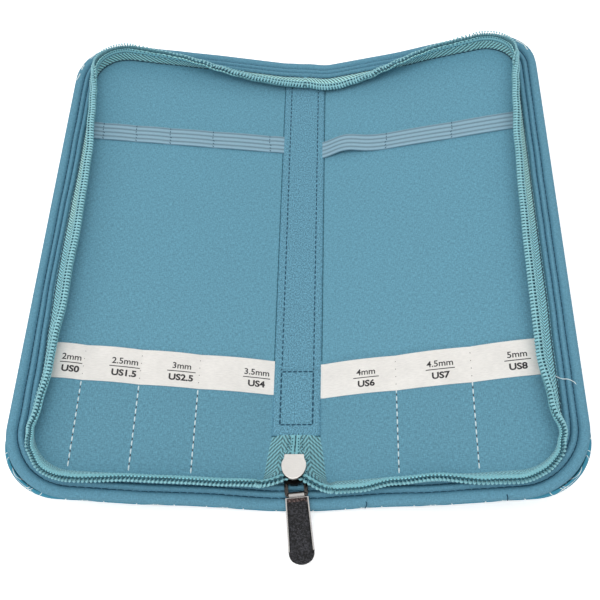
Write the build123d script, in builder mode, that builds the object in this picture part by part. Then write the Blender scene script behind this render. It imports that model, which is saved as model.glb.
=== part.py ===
"""A padded zip case for double-pointed knitting needles, standing open in a shallow V.

Millimetres. The origin is the middle of the spine's underside, on the table.
+Y runs along the spine, away from the zip pull, +X to the right and +Z up.
Each cover is drawn in its own frame: "out" from its fold line to its outer edge,
Y along the spine, and "rise" above the fold line, square to the cover.
"""
import os
from math import cos, radians, sin

from build123d import *

os.makedirs("parts", exist_ok=True)

# ---------------------------------------------------------------- driving sizes
case_length = 230.0  # along the spine
cover_width = 101.3  # fold line to outer edge
spine_width = 18.4  # fold line to fold line
open_tilt = 12.4  # each open cover above the table, degrees
corner_radius = 22.0  # outer corners of the covers
fold_gap = 0.45  # each rigid layer stops this far from a fold line

# layers, from the outside in
cover_cloth = 0.7
padding_thickness = 1.5
board_thickness = 1.0
lining_thickness = 0.5
hem_thickness = 0.8  # cover cloth turned up round the edge
fold_line_rise = 0.7  # fold line above the lining

# edge binding
binding_width = 10.0
binding_thickness = 1.0
binding_lip = 1.0  # how far the binding turns down over the hem
binding_corner_radius = 26.0
binding_round = 0.6

# zip tape and coil
tape_thickness = 0.7
coil_width = 2.3  # across the chain, each side
coil_thickness = 1.8
chain_half_gap = 0.9  # between a closed case's coil and the middle plane
zip_corner_radius = 15.0
tape_start = 4.0  # the standing tape begins to rise here, out from the fold
tape_trim = 0.5  # tape left beyond the coil on its free edge

# spine trims
strip_front_setback = 30.0  # strip's front end inside the case's front edge
strip_binding_gap = 1.0  # between the strip and the back binding
strip_thickness = 0.8
end_tab_length = 29.0
top_tape_width = 8.5

# pockets, labels and elastics
pocket_height = 51.0
pocket_cloth = 0.5
label_width = 15.3
label_thickness = 0.4
left_label_drop = 7.5  # middle of the ribbon below the pocket's top edge
right_label_drop = 8.9
elastic_width = 9.5
elastic_thickness = 0.8
# middle of each elastic inside the back edge, at the spine and at the far end
left_elastic_setbacks = (52.3, 56.2)
right_elastic_setbacks = (56.2, 57.2)
trim_from_fold = 2.0
trim_from_tape = 1.0

# slider
slider_slope = 11.0  # nose above the table, degrees
slider_from_binding = 4.5  # slider's middle behind the front binding
bail_over_lining = 0.93  # under the middle of the bail
slider_length = 10.5
slider_width = 9.3
slider_tail_width = 7.6
slider_shoulder = 1.1  # widest place, behind the middle
plate_thickness = 1.0
channel_clearance = 0.25
post_width = 1.1
lip_thickness = 1.0
lip_height = 1.3

# closed end of the chain, behind the slider
chain_overlap = 0.95  # inside the slider's tail
chain_length = 4.0
chain_tape_width = 12.0
chain_split = 0.1  # seam between the two tapes
anchor_gap = 0.3

# bail and pull
bail_length = 3.9
bail_width = 2.6
bail_strap = 0.7
bail_room = 1.9  # under the strap
bar_diameter = 1.2
bar_from_nose = 2.7
ring_length = 5.9  # bar to bar
ring_width = 8.8
ring_rail = 1.3
ring_offset = 0.4
pull_yaw = 6.0  # pull turned towards +X, degrees
pull_droop = 4.0  # tab below level, degrees
pull_length = 25.7  # ring's far bar to the tip
pull_top_width = 8.8
pull_tip_width = 9.6
pull_thickness = 1.8
knuckle_clearance = 0.2
knuckle_wall = 0.5
knuckle_overlap = 0.3  # rim's top bar inside the knuckle's wall
rim_bar = 0.8
rim_thickness = 0.5
rim_height = 1.4
rim_length = 20.0

# ---------------------------------------------------------------- derived sizes
half_length = case_length / 2
half_spine = spine_width / 2
board_floor = cover_cloth + padding_thickness
lining_floor = board_floor + board_thickness
lining_top = lining_floor + lining_thickness
fold_height = lining_top + fold_line_rise
binding_top = lining_top + binding_thickness
hem_top = lining_top - binding_lip
chain_rise = half_spine - chain_half_gap  # top of a coil above its fold line
tape_rise = chain_rise - tape_trim
spine_half = half_spine - fold_gap

slope = radians(slider_slope)
channel_top = coil_thickness / 2 + tape_thickness + channel_clearance
channel_floor = -coil_thickness / 2 - channel_clearance
nose = -slider_length / 2
tail = slider_length / 2
bar_height = channel_floor - plate_thickness - bail_room / 2
bail_centre = nose + bar_from_nose
bail_depth = plate_thickness + bail_room + bail_strap - channel_floor
chain_y = binding_width + slider_from_binding - half_length
chain_z = lining_top + bail_over_lining + bail_depth * cos(slope) + bail_centre * sin(slope)


# ---------------------------------------------------------------- frames
def cover_plane(side, rise):
    """Plane of a cover, `rise` above its fold line: local X out from the fold. side is -1 left, +1 right."""
    tilt = radians(open_tilt)
    out = (side * cos(tilt), 0, sin(tilt))
    normal = (-side * sin(tilt), 0, cos(tilt))
    return Plane(origin=(side * half_spine, 0, fold_height), x_dir=out, z_dir=normal).offset(rise)


def cover_section(side):
    """Plane across a cover, square to Y: local X out from the fold, local Y its rise."""
    tilt = radians(open_tilt)
    out = (side * cos(tilt), 0, sin(tilt))
    return Plane(origin=(side * half_spine, 0, fold_height), x_dir=out, z_dir=(0, -side, 0))


def slider_plane(height=0.0):
    """Plane at the slider: local -Y towards its nose, local Z to its inner face."""
    base = Plane(origin=(0, chain_y, chain_z), x_dir=(1, 0, 0), z_dir=(0, sin(slope), cos(slope)))
    return base.offset(height)


def pull_plane():
    """Plane of the pull ring: origin on the bar inside the bail, local -Y away from the slider."""
    bar = slider_plane().from_local_coords(Vector(ring_offset, bail_centre, bar_height))
    yaw = radians(pull_yaw)
    return Plane(origin=bar, x_dir=(cos(yaw), sin(yaw), 0), z_dir=(0, 0, 1))


def tab_plane():
    """Plane of the pull tab: origin on the ring's far bar, local -Y towards the tip."""
    ring = pull_plane()
    far_bar = ring.from_local_coords(Vector(0, -ring_length, 0))
    turned = Plane(origin=far_bar, x_dir=ring.x_dir, z_dir=ring.z_dir)
    return turned.rotated((pull_droop, 0, 0))


# ---------------------------------------------------------------- outlines
def cover_outline(inset, near, radius):
    """A cover's outline, `inset` inside its three free edges, starting `near` out from the fold."""
    with BuildSketch() as outline:
        with Locations((near, 0)):
            Rectangle(
                cover_width - inset - near,
                case_length - 2 * inset,
                align=(Align.MIN, Align.CENTER),
            )
        fillet(outline.vertices().group_by(Axis.X)[-1], radius)
    return outline.sketch


def edge_band(outer_inset, inner_inset, outer_radius, inner_radius, near=fold_gap):
    """A band along a cover's three free edges, between two insets."""
    outer = cover_outline(outer_inset, near, outer_radius)
    inner = cover_outline(inner_inset, near - 1, inner_radius)
    with BuildSketch() as band:
        add(outer)
        add(inner, mode=Mode.SUBTRACT)
    return band.sketch


def slider_outline():
    """A slider plate: flat tail, shoulders a little behind the middle, round nose."""
    half = slider_width / 2
    with BuildSketch() as outline:
        with BuildLine():
            Polyline((-slider_tail_width / 2, slider_shoulder + 2.4), (-slider_tail_width / 2, tail))
            Line((-slider_tail_width / 2, tail), (slider_tail_width / 2, tail))
            Line((slider_tail_width / 2, tail), (slider_tail_width / 2, slider_shoulder + 2.4))
            Line((slider_tail_width / 2, slider_shoulder + 2.4), (half, slider_shoulder))
            Spline(
                (half, slider_shoulder),
                (0, nose),
                (-half, slider_shoulder),
                tangents=((0, -1), (-1, 0), (0, 1)),
            )
            Line((-half, slider_shoulder), (-slider_tail_width / 2, slider_shoulder + 2.4))
        make_face()
    return outline.sketch


# ---------------------------------------------------------------- the two covers
outer_outline = cover_outline(0, fold_gap, corner_radius)
filling_outline = cover_outline(hem_thickness, fold_gap, binding_corner_radius)
hem_band = edge_band(0, hem_thickness, corner_radius, binding_corner_radius)
binding_outline = cover_outline(0, fold_gap, binding_corner_radius)
under_binding = cover_outline(hem_thickness, fold_gap - 1, binding_corner_radius)
inside_binding = cover_outline(binding_width, fold_gap - 1, zip_corner_radius)
tape_band = edge_band(
    binding_width,
    binding_width + tape_thickness,
    zip_corner_radius,
    zip_corner_radius - tape_thickness,
    tape_start,
)
coil_band = edge_band(
    binding_width - coil_thickness,
    binding_width,
    zip_corner_radius + coil_thickness,
    zip_corner_radius,
    tape_start,
)
trim_reach = cover_width - binding_width - tape_thickness - trim_from_tape
trim_length = trim_reach - trim_from_fold
pocket_bottom = binding_width + tape_thickness + trim_from_tape - half_length
pocket_middle = pocket_bottom + pocket_height / 2
pocket_top = pocket_bottom + pocket_height
lining_rise = lining_top - fold_height

for side, name, label_drop, elastic_setbacks in (
    (-1, "left", left_label_drop, left_elastic_setbacks),
    (1, "right", right_label_drop, right_elastic_setbacks),
):
    with BuildPart() as cover:
        with BuildSketch(cover_plane(side, -fold_height)):
            add(outer_outline)
        extrude(amount=cover_cloth)
        with BuildSketch(cover_plane(side, cover_cloth - fold_height)):
            add(hem_band)
        extrude(amount=hem_top - cover_cloth)
    cover.part.label = f"{name}_cover"
    export_step(cover.part, f"parts/{name}_cover.step")

    with BuildPart() as padding:
        with BuildSketch(cover_plane(side, cover_cloth - fold_height)):
            add(filling_outline)
        extrude(amount=padding_thickness)
    padding.part.label = f"{name}_padding"
    export_step(padding.part, f"parts/{name}_padding.step")

    with BuildPart() as board:
        with BuildSketch(cover_plane(side, board_floor - fold_height)):
            add(filling_outline)
        extrude(amount=board_thickness)
    board.part.label = f"{name}_board"
    export_step(board.part, f"parts/{name}_board.step")

    with BuildPart() as lining:
        with BuildSketch(cover_plane(side, lining_floor - fold_height)):
            add(filling_outline)
        extrude(amount=lining_thickness)
    lining.part.label = f"{name}_lining"
    export_step(lining.part, f"parts/{name}_lining.step")

    with BuildPart() as binding:
        with BuildSketch(cover_plane(side, hem_top - fold_height)):
            add(binding_outline)
        extrude(amount=binding_lip + binding_thickness)
        top_face = binding.faces().sort_by(Axis((0, 0, 0), cover_plane(side, 0).z_dir))[-1]
        free_edges = top_face.edges().sort_by(lambda edge: abs(edge.center().X))[1:]
        fillet(free_edges, binding_round)
        with BuildSketch(cover_plane(side, hem_top - fold_height)):
            add(under_binding)
        extrude(amount=binding_lip, mode=Mode.SUBTRACT)
        with BuildSketch(cover_plane(side, hem_top - fold_height)):
            add(inside_binding)
        extrude(amount=binding_lip + binding_thickness, mode=Mode.SUBTRACT)
    binding.part.label = f"{name}_binding"
    export_step(binding.part, f"parts/{name}_binding.step")

    with BuildSketch(cover_section(side)) as tape_ramp:
        with BuildLine():
            Polyline(
                (tape_start, 0),
                (tape_start + chain_rise + 1, chain_rise + 1),
                (tape_start - 1, chain_rise + 1),
                (tape_start - 1, 0),
                (tape_start, 0),
            )
        make_face()

    with BuildPart() as zip_tape:
        with BuildSketch(cover_plane(side, lining_rise)):
            add(tape_band)
        extrude(amount=tape_rise - lining_rise)
        extrude(tape_ramp.sketch, amount=case_length, both=True, mode=Mode.SUBTRACT)
    zip_tape.part.label = f"{name}_zip_tape"
    export_step(zip_tape.part, f"parts/{name}_zip_tape.step")

    with BuildPart() as zip_coil:
        with BuildSketch(cover_plane(side, chain_rise - coil_width)):
            add(coil_band)
        extrude(amount=coil_width)
        extrude(tape_ramp.sketch, amount=case_length, both=True, mode=Mode.SUBTRACT)
    zip_coil.part.label = f"{name}_zip_coil"
    export_step(zip_coil.part, f"parts/{name}_zip_coil.step")

    with BuildPart() as pocket:
        with BuildSketch(cover_plane(side, lining_rise)) as pocket_sketch:
            with Locations((trim_from_fold, side * pocket_middle)):
                Rectangle(trim_length, pocket_height, align=(Align.MIN, Align.CENTER))
            outer_end = pocket_sketch.vertices().group_by(Axis.X)[-1]
            fillet(outer_end.sort_by(Axis.Y)[0 if side > 0 else -1], zip_corner_radius)
        extrude(amount=pocket_cloth)
    pocket.part.label = f"{name}_pocket"
    export_step(pocket.part, f"parts/{name}_pocket.step")

    with BuildPart() as label_ribbon:
        with BuildSketch(cover_plane(side, lining_rise + pocket_cloth)):
            with Locations((trim_from_fold, side * (pocket_top - label_drop))):
                Rectangle(trim_length, label_width, align=(Align.MIN, Align.CENTER))
        extrude(amount=label_thickness)
    label_ribbon.part.label = f"{name}_label_ribbon"
    export_step(label_ribbon.part, f"parts/{name}_label_ribbon.step")

    spine_end, edge_end = (half_length - setback for setback in elastic_setbacks)
    with BuildPart() as elastic:
        with BuildSketch(cover_plane(side, lining_rise)):
            with BuildLine():
                Polyline(
                    (trim_from_fold, side * (spine_end - elastic_width / 2)),
                    (trim_reach, side * (edge_end - elastic_width / 2)),
                    (trim_reach, side * (edge_end + elastic_width / 2)),
                    (trim_from_fold, side * (spine_end + elastic_width / 2)),
                    close=True,
                )
            make_face()
        extrude(amount=elastic_thickness)
    elastic.part.label = f"{name}_elastic"
    export_step(elastic.part, f"parts/{name}_elastic.step")

# ---------------------------------------------------------------- the spine
strip_start = strip_front_setback - half_length
strip_end = half_length - binding_width - strip_binding_gap
with BuildPart() as spine_cover:
    with BuildSketch(Plane.XY):
        Rectangle(2 * spine_half, case_length)
    extrude(amount=cover_cloth)
    with BuildSketch(Plane.XY.offset(cover_cloth)):
        Rectangle(2 * spine_half, case_length)
        Rectangle(2 * spine_half, case_length - 2 * hem_thickness, mode=Mode.SUBTRACT)
    extrude(amount=hem_top - cover_cloth)
spine_cover.part.label = "spine_cover"
export_step(spine_cover.part, "parts/spine_cover.step")

with BuildPart() as spine_padding:
    with BuildSketch(Plane.XY.offset(cover_cloth)):
        Rectangle(2 * spine_half, case_length - 2 * hem_thickness)
    extrude(amount=padding_thickness)
spine_padding.part.label = "spine_padding"
export_step(spine_padding.part, "parts/spine_padding.step")

with BuildPart() as spine_board:
    with BuildSketch(Plane.XY.offset(board_floor)):
        Rectangle(2 * spine_half, case_length - 2 * hem_thickness)
    extrude(amount=board_thickness)
spine_board.part.label = "spine_board"
export_step(spine_board.part, "parts/spine_board.step")

with BuildPart() as spine_lining:
    with BuildSketch(Plane.XY.offset(lining_floor)):
        Rectangle(2 * spine_half, case_length - 2 * hem_thickness)
    extrude(amount=lining_thickness)
spine_lining.part.label = "spine_lining"
export_step(spine_lining.part, "parts/spine_lining.step")

for end, end_name in ((-1, "front"), (1, "back")):
    with BuildPart() as spine_binding:
        with BuildSketch(Plane.XY.offset(lining_top)):
            with Locations((0, end * (half_length - binding_width / 2))):
                Rectangle(2 * spine_half, binding_width)
        extrude(amount=binding_thickness)
        outer_top = spine_binding.edges().filter_by(Axis.X).sort_by(lambda edge: end * edge.center().Y)[-2:]
        fillet(outer_top.sort_by(Axis.Z)[-1], binding_round)
        with BuildSketch(Plane.XY.offset(hem_top)):
            with Locations((0, end * (half_length - hem_thickness / 2))):
                Rectangle(2 * spine_half, hem_thickness)
        extrude(amount=binding_lip)
    spine_binding.part.label = f"spine_binding_{end_name}"
    export_step(spine_binding.part, f"parts/spine_binding_{end_name}.step")

with BuildPart() as spine_strip:
    with BuildSketch(Plane.XY.offset(lining_top)):
        with Locations((0, (strip_start + strip_end) / 2)):
            Rectangle(2 * spine_half, strip_end - strip_start)
    extrude(amount=strip_thickness)
spine_strip.part.label = "spine_strip"
export_step(spine_strip.part, "parts/spine_strip.step")

with BuildPart() as spine_end_tab:
    with BuildSketch(Plane.XY.offset(lining_top + strip_thickness)):
        with Locations((0, strip_start + end_tab_length / 2)):
            Rectangle(2 * spine_half, end_tab_length)
    extrude(amount=strip_thickness)
spine_end_tab.part.label = "spine_end_tab"
export_step(spine_end_tab.part, "parts/spine_end_tab.step")

top_tape_edge = half_length - binding_width - tape_thickness
with BuildPart() as zip_tape_top:
    with BuildSketch(Plane.XY.offset(lining_top + strip_thickness)):
        with Locations((0, top_tape_edge - top_tape_width / 2)):
            Rectangle(2 * spine_half, top_tape_width)
    extrude(amount=tape_thickness)
zip_tape_top.part.label = "zip_tape_top"
export_step(zip_tape_top.part, "parts/zip_tape_top.step")

with BuildPart() as zip_coil_top:
    with BuildSketch(Plane.XY.offset(lining_top + strip_thickness + tape_thickness)):
        with Locations((0, top_tape_edge - top_tape_width + coil_width / 2)):
            Rectangle(2 * spine_half, coil_width)
    extrude(amount=coil_thickness)
zip_coil_top.part.label = "zip_coil_top"
export_step(zip_coil_top.part, "parts/zip_coil_top.step")

# ---------------------------------------------------------------- closed end of the chain
chain_front = tail - chain_overlap
chain_back = chain_front + chain_length
tape_floor = coil_thickness / 2

with BuildPart() as chain_tape:
    with BuildSketch(slider_plane(tape_floor)):
        with Locations((0, (chain_front + chain_back) / 2)):
            Rectangle(chain_tape_width, chain_length)
            Rectangle(chain_split, chain_length, mode=Mode.SUBTRACT)
    extrude(amount=tape_thickness)
chain_tape.part.label = "chain_tape"
export_step(chain_tape.part, "parts/chain_tape.step")

with BuildPart() as chain_coil:
    with BuildSketch(slider_plane(-coil_thickness / 2)):
        with Locations((0, (chain_front + chain_back) / 2)):
            Rectangle(2 * coil_width, chain_length)
    extrude(amount=coil_thickness)
chain_coil.part.label = "chain_coil"
export_step(chain_coil.part, "parts/chain_coil.step")

anchor_top = slider_plane().from_local_coords(
    Vector(0, chain_back + anchor_gap, tape_floor + tape_thickness)
)
anchor_drop = slider_plane().from_local_coords(Vector(0, chain_back + anchor_gap, tape_floor))
with BuildPart() as zip_tape_anchor:
    with BuildSketch(Plane.YZ):
        with BuildLine():
            Polyline(
                (strip_start, lining_top),
                (strip_start, lining_top + tape_thickness),
                (anchor_top.Y, anchor_top.Z),
                (anchor_drop.Y, anchor_drop.Z),
                (strip_start - 2 * tape_thickness, lining_top),
                close=True,
            )
        make_face()
    extrude(amount=spine_half, both=True)
    with BuildSketch(Plane.XY):
        with Locations((0, strip_start)):
            Rectangle(chain_split, case_length / 2)
    extrude(amount=case_length / 2, mode=Mode.SUBTRACT)
zip_tape_anchor.part.label = "zip_tape_anchor"
export_step(zip_tape_anchor.part, "parts/zip_tape_anchor.step")

# ---------------------------------------------------------------- the slider
plate_outline = slider_outline()
lip_centre = slider_width / 2 - lip_thickness / 2
with BuildPart() as slider_body:
    with BuildSketch(slider_plane(channel_top)):
        add(plate_outline)
    extrude(amount=plate_thickness)
    with BuildSketch(slider_plane(channel_floor - plate_thickness)):
        add(plate_outline)
    extrude(amount=plate_thickness)
    with BuildSketch(slider_plane(channel_floor)):
        add(plate_outline)
        Rectangle(slider_width - 2 * lip_thickness, 2 * slider_length, mode=Mode.SUBTRACT)
    extrude(amount=lip_height)
    with BuildSketch(slider_plane(channel_floor)):
        with Locations((0, (nose + plate_thickness) / 2)):
            SlotOverall(-nose - 2 * plate_thickness, post_width, rotation=90)
    extrude(amount=channel_top - channel_floor)
slider_body.part.label = "slider_body"
export_step(slider_body.part, "parts/slider_body.step")

with BuildPart() as slider_bail:
    with BuildSketch(slider_plane(channel_floor - plate_thickness)):
        with Locations((0, bail_centre)):
            Rectangle(bail_width, bail_length)
    extrude(amount=-(bail_room + bail_strap))
    bail_bottom = slider_bail.faces().sort_by(Axis((0, 0, 0), slider_plane().z_dir))[0]
    fillet(bail_bottom.edges().filter_by(Axis.X), bail_strap)
    with BuildSketch(slider_plane(channel_floor - plate_thickness)):
        with Locations((0, bail_centre)):
            Rectangle(bail_width, bail_length - 2 * bail_strap)
    extrude(amount=-bail_room, mode=Mode.SUBTRACT)
slider_bail.part.label = "slider_bail"
export_step(slider_bail.part, "parts/slider_bail.step")

# ---------------------------------------------------------------- the pull
bar_radius = bar_diameter / 2
rail_centre = (ring_width - ring_rail) / 2
with BuildPart() as pull_ring:
    with BuildSketch(pull_plane().offset(-bar_radius)):
        for rail_side in (-1, 1):
            with Locations((rail_side * rail_centre, -ring_length / 2)):
                SlotOverall(ring_length + ring_rail, ring_rail, rotation=90)
    extrude(amount=bar_diameter)
    for bar_at in (0, -ring_length):
        bar_middle = pull_plane().from_local_coords(Vector(0, bar_at, 0))
        with BuildSketch(Plane(origin=bar_middle, z_dir=pull_plane().x_dir)):
            Circle(bar_radius)
        extrude(amount=rail_centre, both=True)
pull_ring.part.label = "pull_ring"
export_step(pull_ring.part, "parts/pull_ring.step")

knuckle_bore = bar_radius + knuckle_clearance
knuckle_radius = knuckle_bore + knuckle_wall
knuckle_half = rail_centre - ring_rail / 2 - knuckle_clearance
rim_start = knuckle_overlap - knuckle_radius
leather_start = rim_start - rim_bar
rim_end = rim_start - rim_length
tab_end = -pull_length
half_top = pull_top_width / 2
half_tip = pull_tip_width / 2
tip_radius = half_tip * 0.7

with BuildPart() as pull_rim:
    with BuildSketch(Plane(origin=tab_plane().origin, z_dir=tab_plane().x_dir)):
        Circle(knuckle_radius)
    extrude(amount=knuckle_half, both=True)
    with BuildSketch(tab_plane().offset(-rim_height / 2)):
        with Locations((0, rim_start - rim_bar / 2)):
            Rectangle(pull_top_width, rim_bar)
        for rim_side in (-1, 1):
            with BuildLine():
                Polyline(
                    (rim_side * half_top, leather_start),
                    (rim_side * (half_top - rim_thickness), leather_start),
                    (rim_side * (half_tip - rim_thickness), rim_end),
                    (rim_side * half_tip, rim_end),
                    close=True,
                )
            make_face()
    extrude(amount=rim_height)
    with BuildSketch(Plane(origin=tab_plane().origin, z_dir=tab_plane().x_dir)):
        Circle(knuckle_bore)
    extrude(amount=knuckle_half, both=True, mode=Mode.SUBTRACT)
pull_rim.part.label = "pull_rim"
export_step(pull_rim.part, "parts/pull_rim.step")

with BuildPart() as pull_leather:
    with BuildSketch(tab_plane().offset(-pull_thickness / 2)):
        with BuildLine():
            Polyline(
                (half_top - rim_thickness, leather_start),
                (half_tip - rim_thickness, rim_end),
                (half_tip, rim_end),
                (half_tip, tab_end + tip_radius),
            )
            TangentArc(
                (half_tip, tab_end + tip_radius), (half_tip - tip_radius, tab_end), tangent=(0, -1)
            )
            Line((half_tip - tip_radius, tab_end), (tip_radius - half_tip, tab_end))
            TangentArc(
                (tip_radius - half_tip, tab_end), (-half_tip, tab_end + tip_radius), tangent=(-1, 0)
            )
            Polyline(
                (-half_tip, tab_end + tip_radius),
                (-half_tip, rim_end),
                (rim_thickness - half_tip, rim_end),
                (rim_thickness - half_top, leather_start),
                (half_top - rim_thickness, leather_start),
            )
        make_face()
    extrude(amount=pull_thickness)
pull_leather.part.label = "pull_leather"
export_step(pull_leather.part, "parts/pull_leather.step")
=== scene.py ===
from functools import cache
from math import atan2, cos, exp, floor, hypot, pi, radians, sin, sqrt, tan

import bmesh
import bpy
from bpy.props import FloatProperty, FloatVectorProperty, PointerProperty
from mathutils import Matrix, Vector, noise


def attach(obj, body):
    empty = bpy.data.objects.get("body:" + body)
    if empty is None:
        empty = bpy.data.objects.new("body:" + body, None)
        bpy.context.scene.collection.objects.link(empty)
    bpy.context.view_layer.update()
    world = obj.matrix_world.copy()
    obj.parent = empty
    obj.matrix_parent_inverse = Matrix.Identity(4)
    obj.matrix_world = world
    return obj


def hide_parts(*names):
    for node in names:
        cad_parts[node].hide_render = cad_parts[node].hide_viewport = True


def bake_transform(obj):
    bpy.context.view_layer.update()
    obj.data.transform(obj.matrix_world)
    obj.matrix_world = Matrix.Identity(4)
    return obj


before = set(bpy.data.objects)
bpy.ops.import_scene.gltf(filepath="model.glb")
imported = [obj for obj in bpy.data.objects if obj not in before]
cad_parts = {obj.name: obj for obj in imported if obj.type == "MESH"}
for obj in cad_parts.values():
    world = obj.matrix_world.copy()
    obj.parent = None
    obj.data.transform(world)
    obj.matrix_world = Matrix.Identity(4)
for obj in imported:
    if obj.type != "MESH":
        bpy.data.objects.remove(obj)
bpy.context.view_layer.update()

bl_info = {
    "name": "Zip needle case",
    "version": (1, 0, 0),
    "blender": (4, 5, 0),
    "location": "View3D > Sidebar > Needle case",
    "description": "Builds a padded zip case for knitting needles, standing open",
    "category": "Add Mesh",
}

MM = 0.001
UP = Vector((0, 0, 1))


# ---------------------------------------------------------------- sizes and colours
def linear(*screen):
    """A screen colour, each part from 0 to 255, as the linear colour that a shader takes."""
    parts = [part / 255 for part in screen]
    return tuple(p / 12.92 if p <= 0.04045 else ((p + 0.055) / 1.055) ** 2.4 for p in parts)


def distance(name, description, millimetres):
    return FloatProperty(
        name=name, description=description, default=millimetres * MM, unit="LENGTH", precision=4
    )


def tint(name, description, *screen):
    return FloatVectorProperty(
        name=name, description=description, default=linear(*screen), subtype="COLOR", min=0, max=1
    )


class CaseSizes(bpy.types.PropertyGroup):
    """Sizes of the case that its pieces are made from"""

    case_length: distance("Case length", "Along the spine", 230.0)
    cover_width: distance("Cover width", "Fold line to outer edge", 101.3)
    spine_width: distance("Spine width", "Fold line to fold line", 18.4)
    open_tilt: FloatProperty(
        name="Open tilt",
        description="Each open cover above the table",
        default=radians(12.4),
        unit="ROTATION",
    )
    fold_height: distance("Fold height", "Fold lines above the table", 4.4)
    fold_ease: distance("Fold ease", "Half the width of the bend at each fold", 3.0)
    fold_reach: distance("Fold reach", "How far the cloth gives, each side of a fold", 7.0)
    cover_corner: distance("Cover corner", "Corner radius of the outer cloth", 22.0)
    edge_corner: distance("Edge corner", "Corner radius of the binding", 26.0)
    lining_drop: distance("Lining drop", "Lining below the fold lines", 0.7)
    tape_height: distance("Tape height", "Lining to the free edge of the zip tape", 7.6)
    coil_pitch: distance("Coil pitch", "From one zip tooth to the next", 1.5)
    coil_width: distance("Coil width", "Across one coil", 3.7)
    coil_thickness: distance("Coil thickness", "Thickness of one coil", 1.65)
    coil_wire: distance("Coil wire", "Diameter of the coil's wire", 0.56)
    stitch_pitch: distance("Stitch pitch", "From one stitch to the next", 2.9)
    stitch_length: distance("Stitch length", "Length of one stitch that shows", 3.0)
    thread: distance("Thread", "Diameter of the sewing thread", 0.5)
    strip_half: distance("Strip half width", "Middle line to the strip's edge", 9.6)
    strip_start: distance("Strip front", "Strip's front end from the case's middle", -85.0)
    strip_end: distance("Strip back", "Strip's back end from the case's middle", 106.0)
    tab_top: distance("End tab", "Where the end tab starts, from the case's middle", -56.0)
    pocket_top: distance("Pocket mouth", "Pocket's mouth from the case's middle", -52.3)
    label_width: distance("Label width", "Width of the label ribbon", 15.3)
    elastic_width: distance("Elastic width", "Width of the elastic band", 9.5)
    text_size: distance("Text size", "Size of the printed labels", 3.75)


class CaseColours(bpy.types.PropertyGroup):
    """Colours of the case's cloths, threads and metal"""

    lining: tint("Lining", "Smooth lining cloth", 103, 157, 178)
    strip: tint("Strip", "Brushed strip over the spine", 101, 153, 175)
    binding: tint("Binding", "Cloth folded over the edges", 98, 150, 172)
    tape: tint("Zip tape", "Woven zip tape", 132, 192, 203)
    coil: tint("Zip coil", "Nylon coil", 150, 206, 215)
    tape_fold: tint("Tape edge", "Plain woven edge of the zip tape", 134, 194, 204)
    # painted shade: the core cord's dark colour stands for the shade between the coil's turns; the
    # seam thread takes this colour too
    coil_core: tint("Coil core", "Cord inside the coil", 40, 96, 112)
    zip_thread: tint("Zip thread", "Thread that holds the coil to its tape", 158, 212, 220)
    elastic: tint("Elastic", "Ribbed elastic band", 142, 177, 194)
    ribbon: tint("Ribbon", "Cotton label ribbon", 246, 243, 238)
    print_ground: tint("Cover", "Ground of the printed cover", 62, 142, 168)
    print_line: tint("Cover line", "Lines printed on the cover", 232, 240, 240)
    dark_thread: tint("Dark thread", "Thread along the edges and the spine", 22, 74, 96)
    light_thread: tint("Light thread", "Thread between the pockets", 226, 250, 255)
    needle_hole: tint("Needle holes", "Holes pricked between the pockets' stitches", 84, 70, 62)
    ink: tint("Ink", "Printed size labels", 48, 46, 48)
    plate: tint("Slider plate", "Satin nickel", 203, 200, 196)
    steel: tint("Pull metal", "Polished metal of the pull's frame", 132, 130, 128)
    ring_steel: tint("Ring metal", "Dark polished metal of the ring", 74, 70, 67)
    dark_steel: tint("Slider metal", "Dark metal under the slider's plate", 74, 70, 67)
    leather: tint("Leather", "Black pull tab", 29, 29, 32)
    leather_edge: tint("Leather fold", "Brown folded end of the pull tab", 66, 54, 52)


# ---------------------------------------------------------------- the case's shape
STEADY = 45 * MM  # each side of the case's middle, where it is square
END_DRIFT = {  # how far each end strays from square, mm, by the distance out from the spine, mm
    (-1, 1): ((0, 0.1), (8, 0.8), (40, 0.7), (60, 0.2), (78, -0.2), (110, -0.2)),
    (1, 1): ((0, 0.1), (14, -1.7), (45, -2.2), (70, -1.2), (95, -1.0), (110, -0.6)),
    (-1, -1): ((0, 0.8), (35, 0.8), (60, 0.0), (110, 0.0)),
    (1, -1): ((0, 0.8), (30, 0.8), (55, 0.0), (110, 0.0)),
}
BINDING_REACH = {  # distance along the rim, and the binding's width there, mm
    -1: (
        (0, 9.8), (110, 9.8), (128, 9.4), (150, 8.9), (170, 8.1), (190, 7.6), (208, 7.6),
        (229, 7.9), (250, 8.3), (344, 8.4), (429, 8.6),
    ),
    1: (
        (0, 9.8), (110, 9.6), (137, 8.7), (162, 8.7), (175, 8.4), (202, 8.5), (225, 8.6),
        (262, 8.5), (344, 8.4), (429, 8.6),
    ),
}


def clamp(value, low=0, high=1):
    return min(max(value, low), high)


def eased(share):
    return share * share * (3 - 2 * share)


def between(keys, at, ease=eased):
    """The value at a place along a row of (place, value) keys, eased from key to key."""
    if at <= keys[0][0]:
        return keys[0][1]
    for (start, low), (end, high) in zip(keys, keys[1:]):
        if at <= end:
            return low + (high - low) * ease((at - start) / (end - start))
    return keys[-1][1]


def straight(keys, at):
    """The value at a place along a row of (place, value) keys, in straight runs."""
    return between(keys, at, float)


def smooth_line(points, at):
    """A point on the smooth line through a row of points. `at` counts points from 0."""
    last = len(points) - 1
    first = int(clamp(at, 0, last - 1))
    t = clamp(at - first)
    p1, p2 = Vector(points[first]), Vector(points[first + 1])
    p0 = Vector(points[first - 1]) if first else p1 * 2 - p2
    p3 = Vector(points[first + 2]) if first + 2 <= last else p2 * 2 - p1
    slope, curve = 2 * p0 - 5 * p1 + 4 * p2 - p3, 3 * p1 - p0 - 3 * p2 + p3
    return 0.5 * (2 * p1 + (p2 - p0) * t + slope * t * t + curve * t**3)


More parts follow.
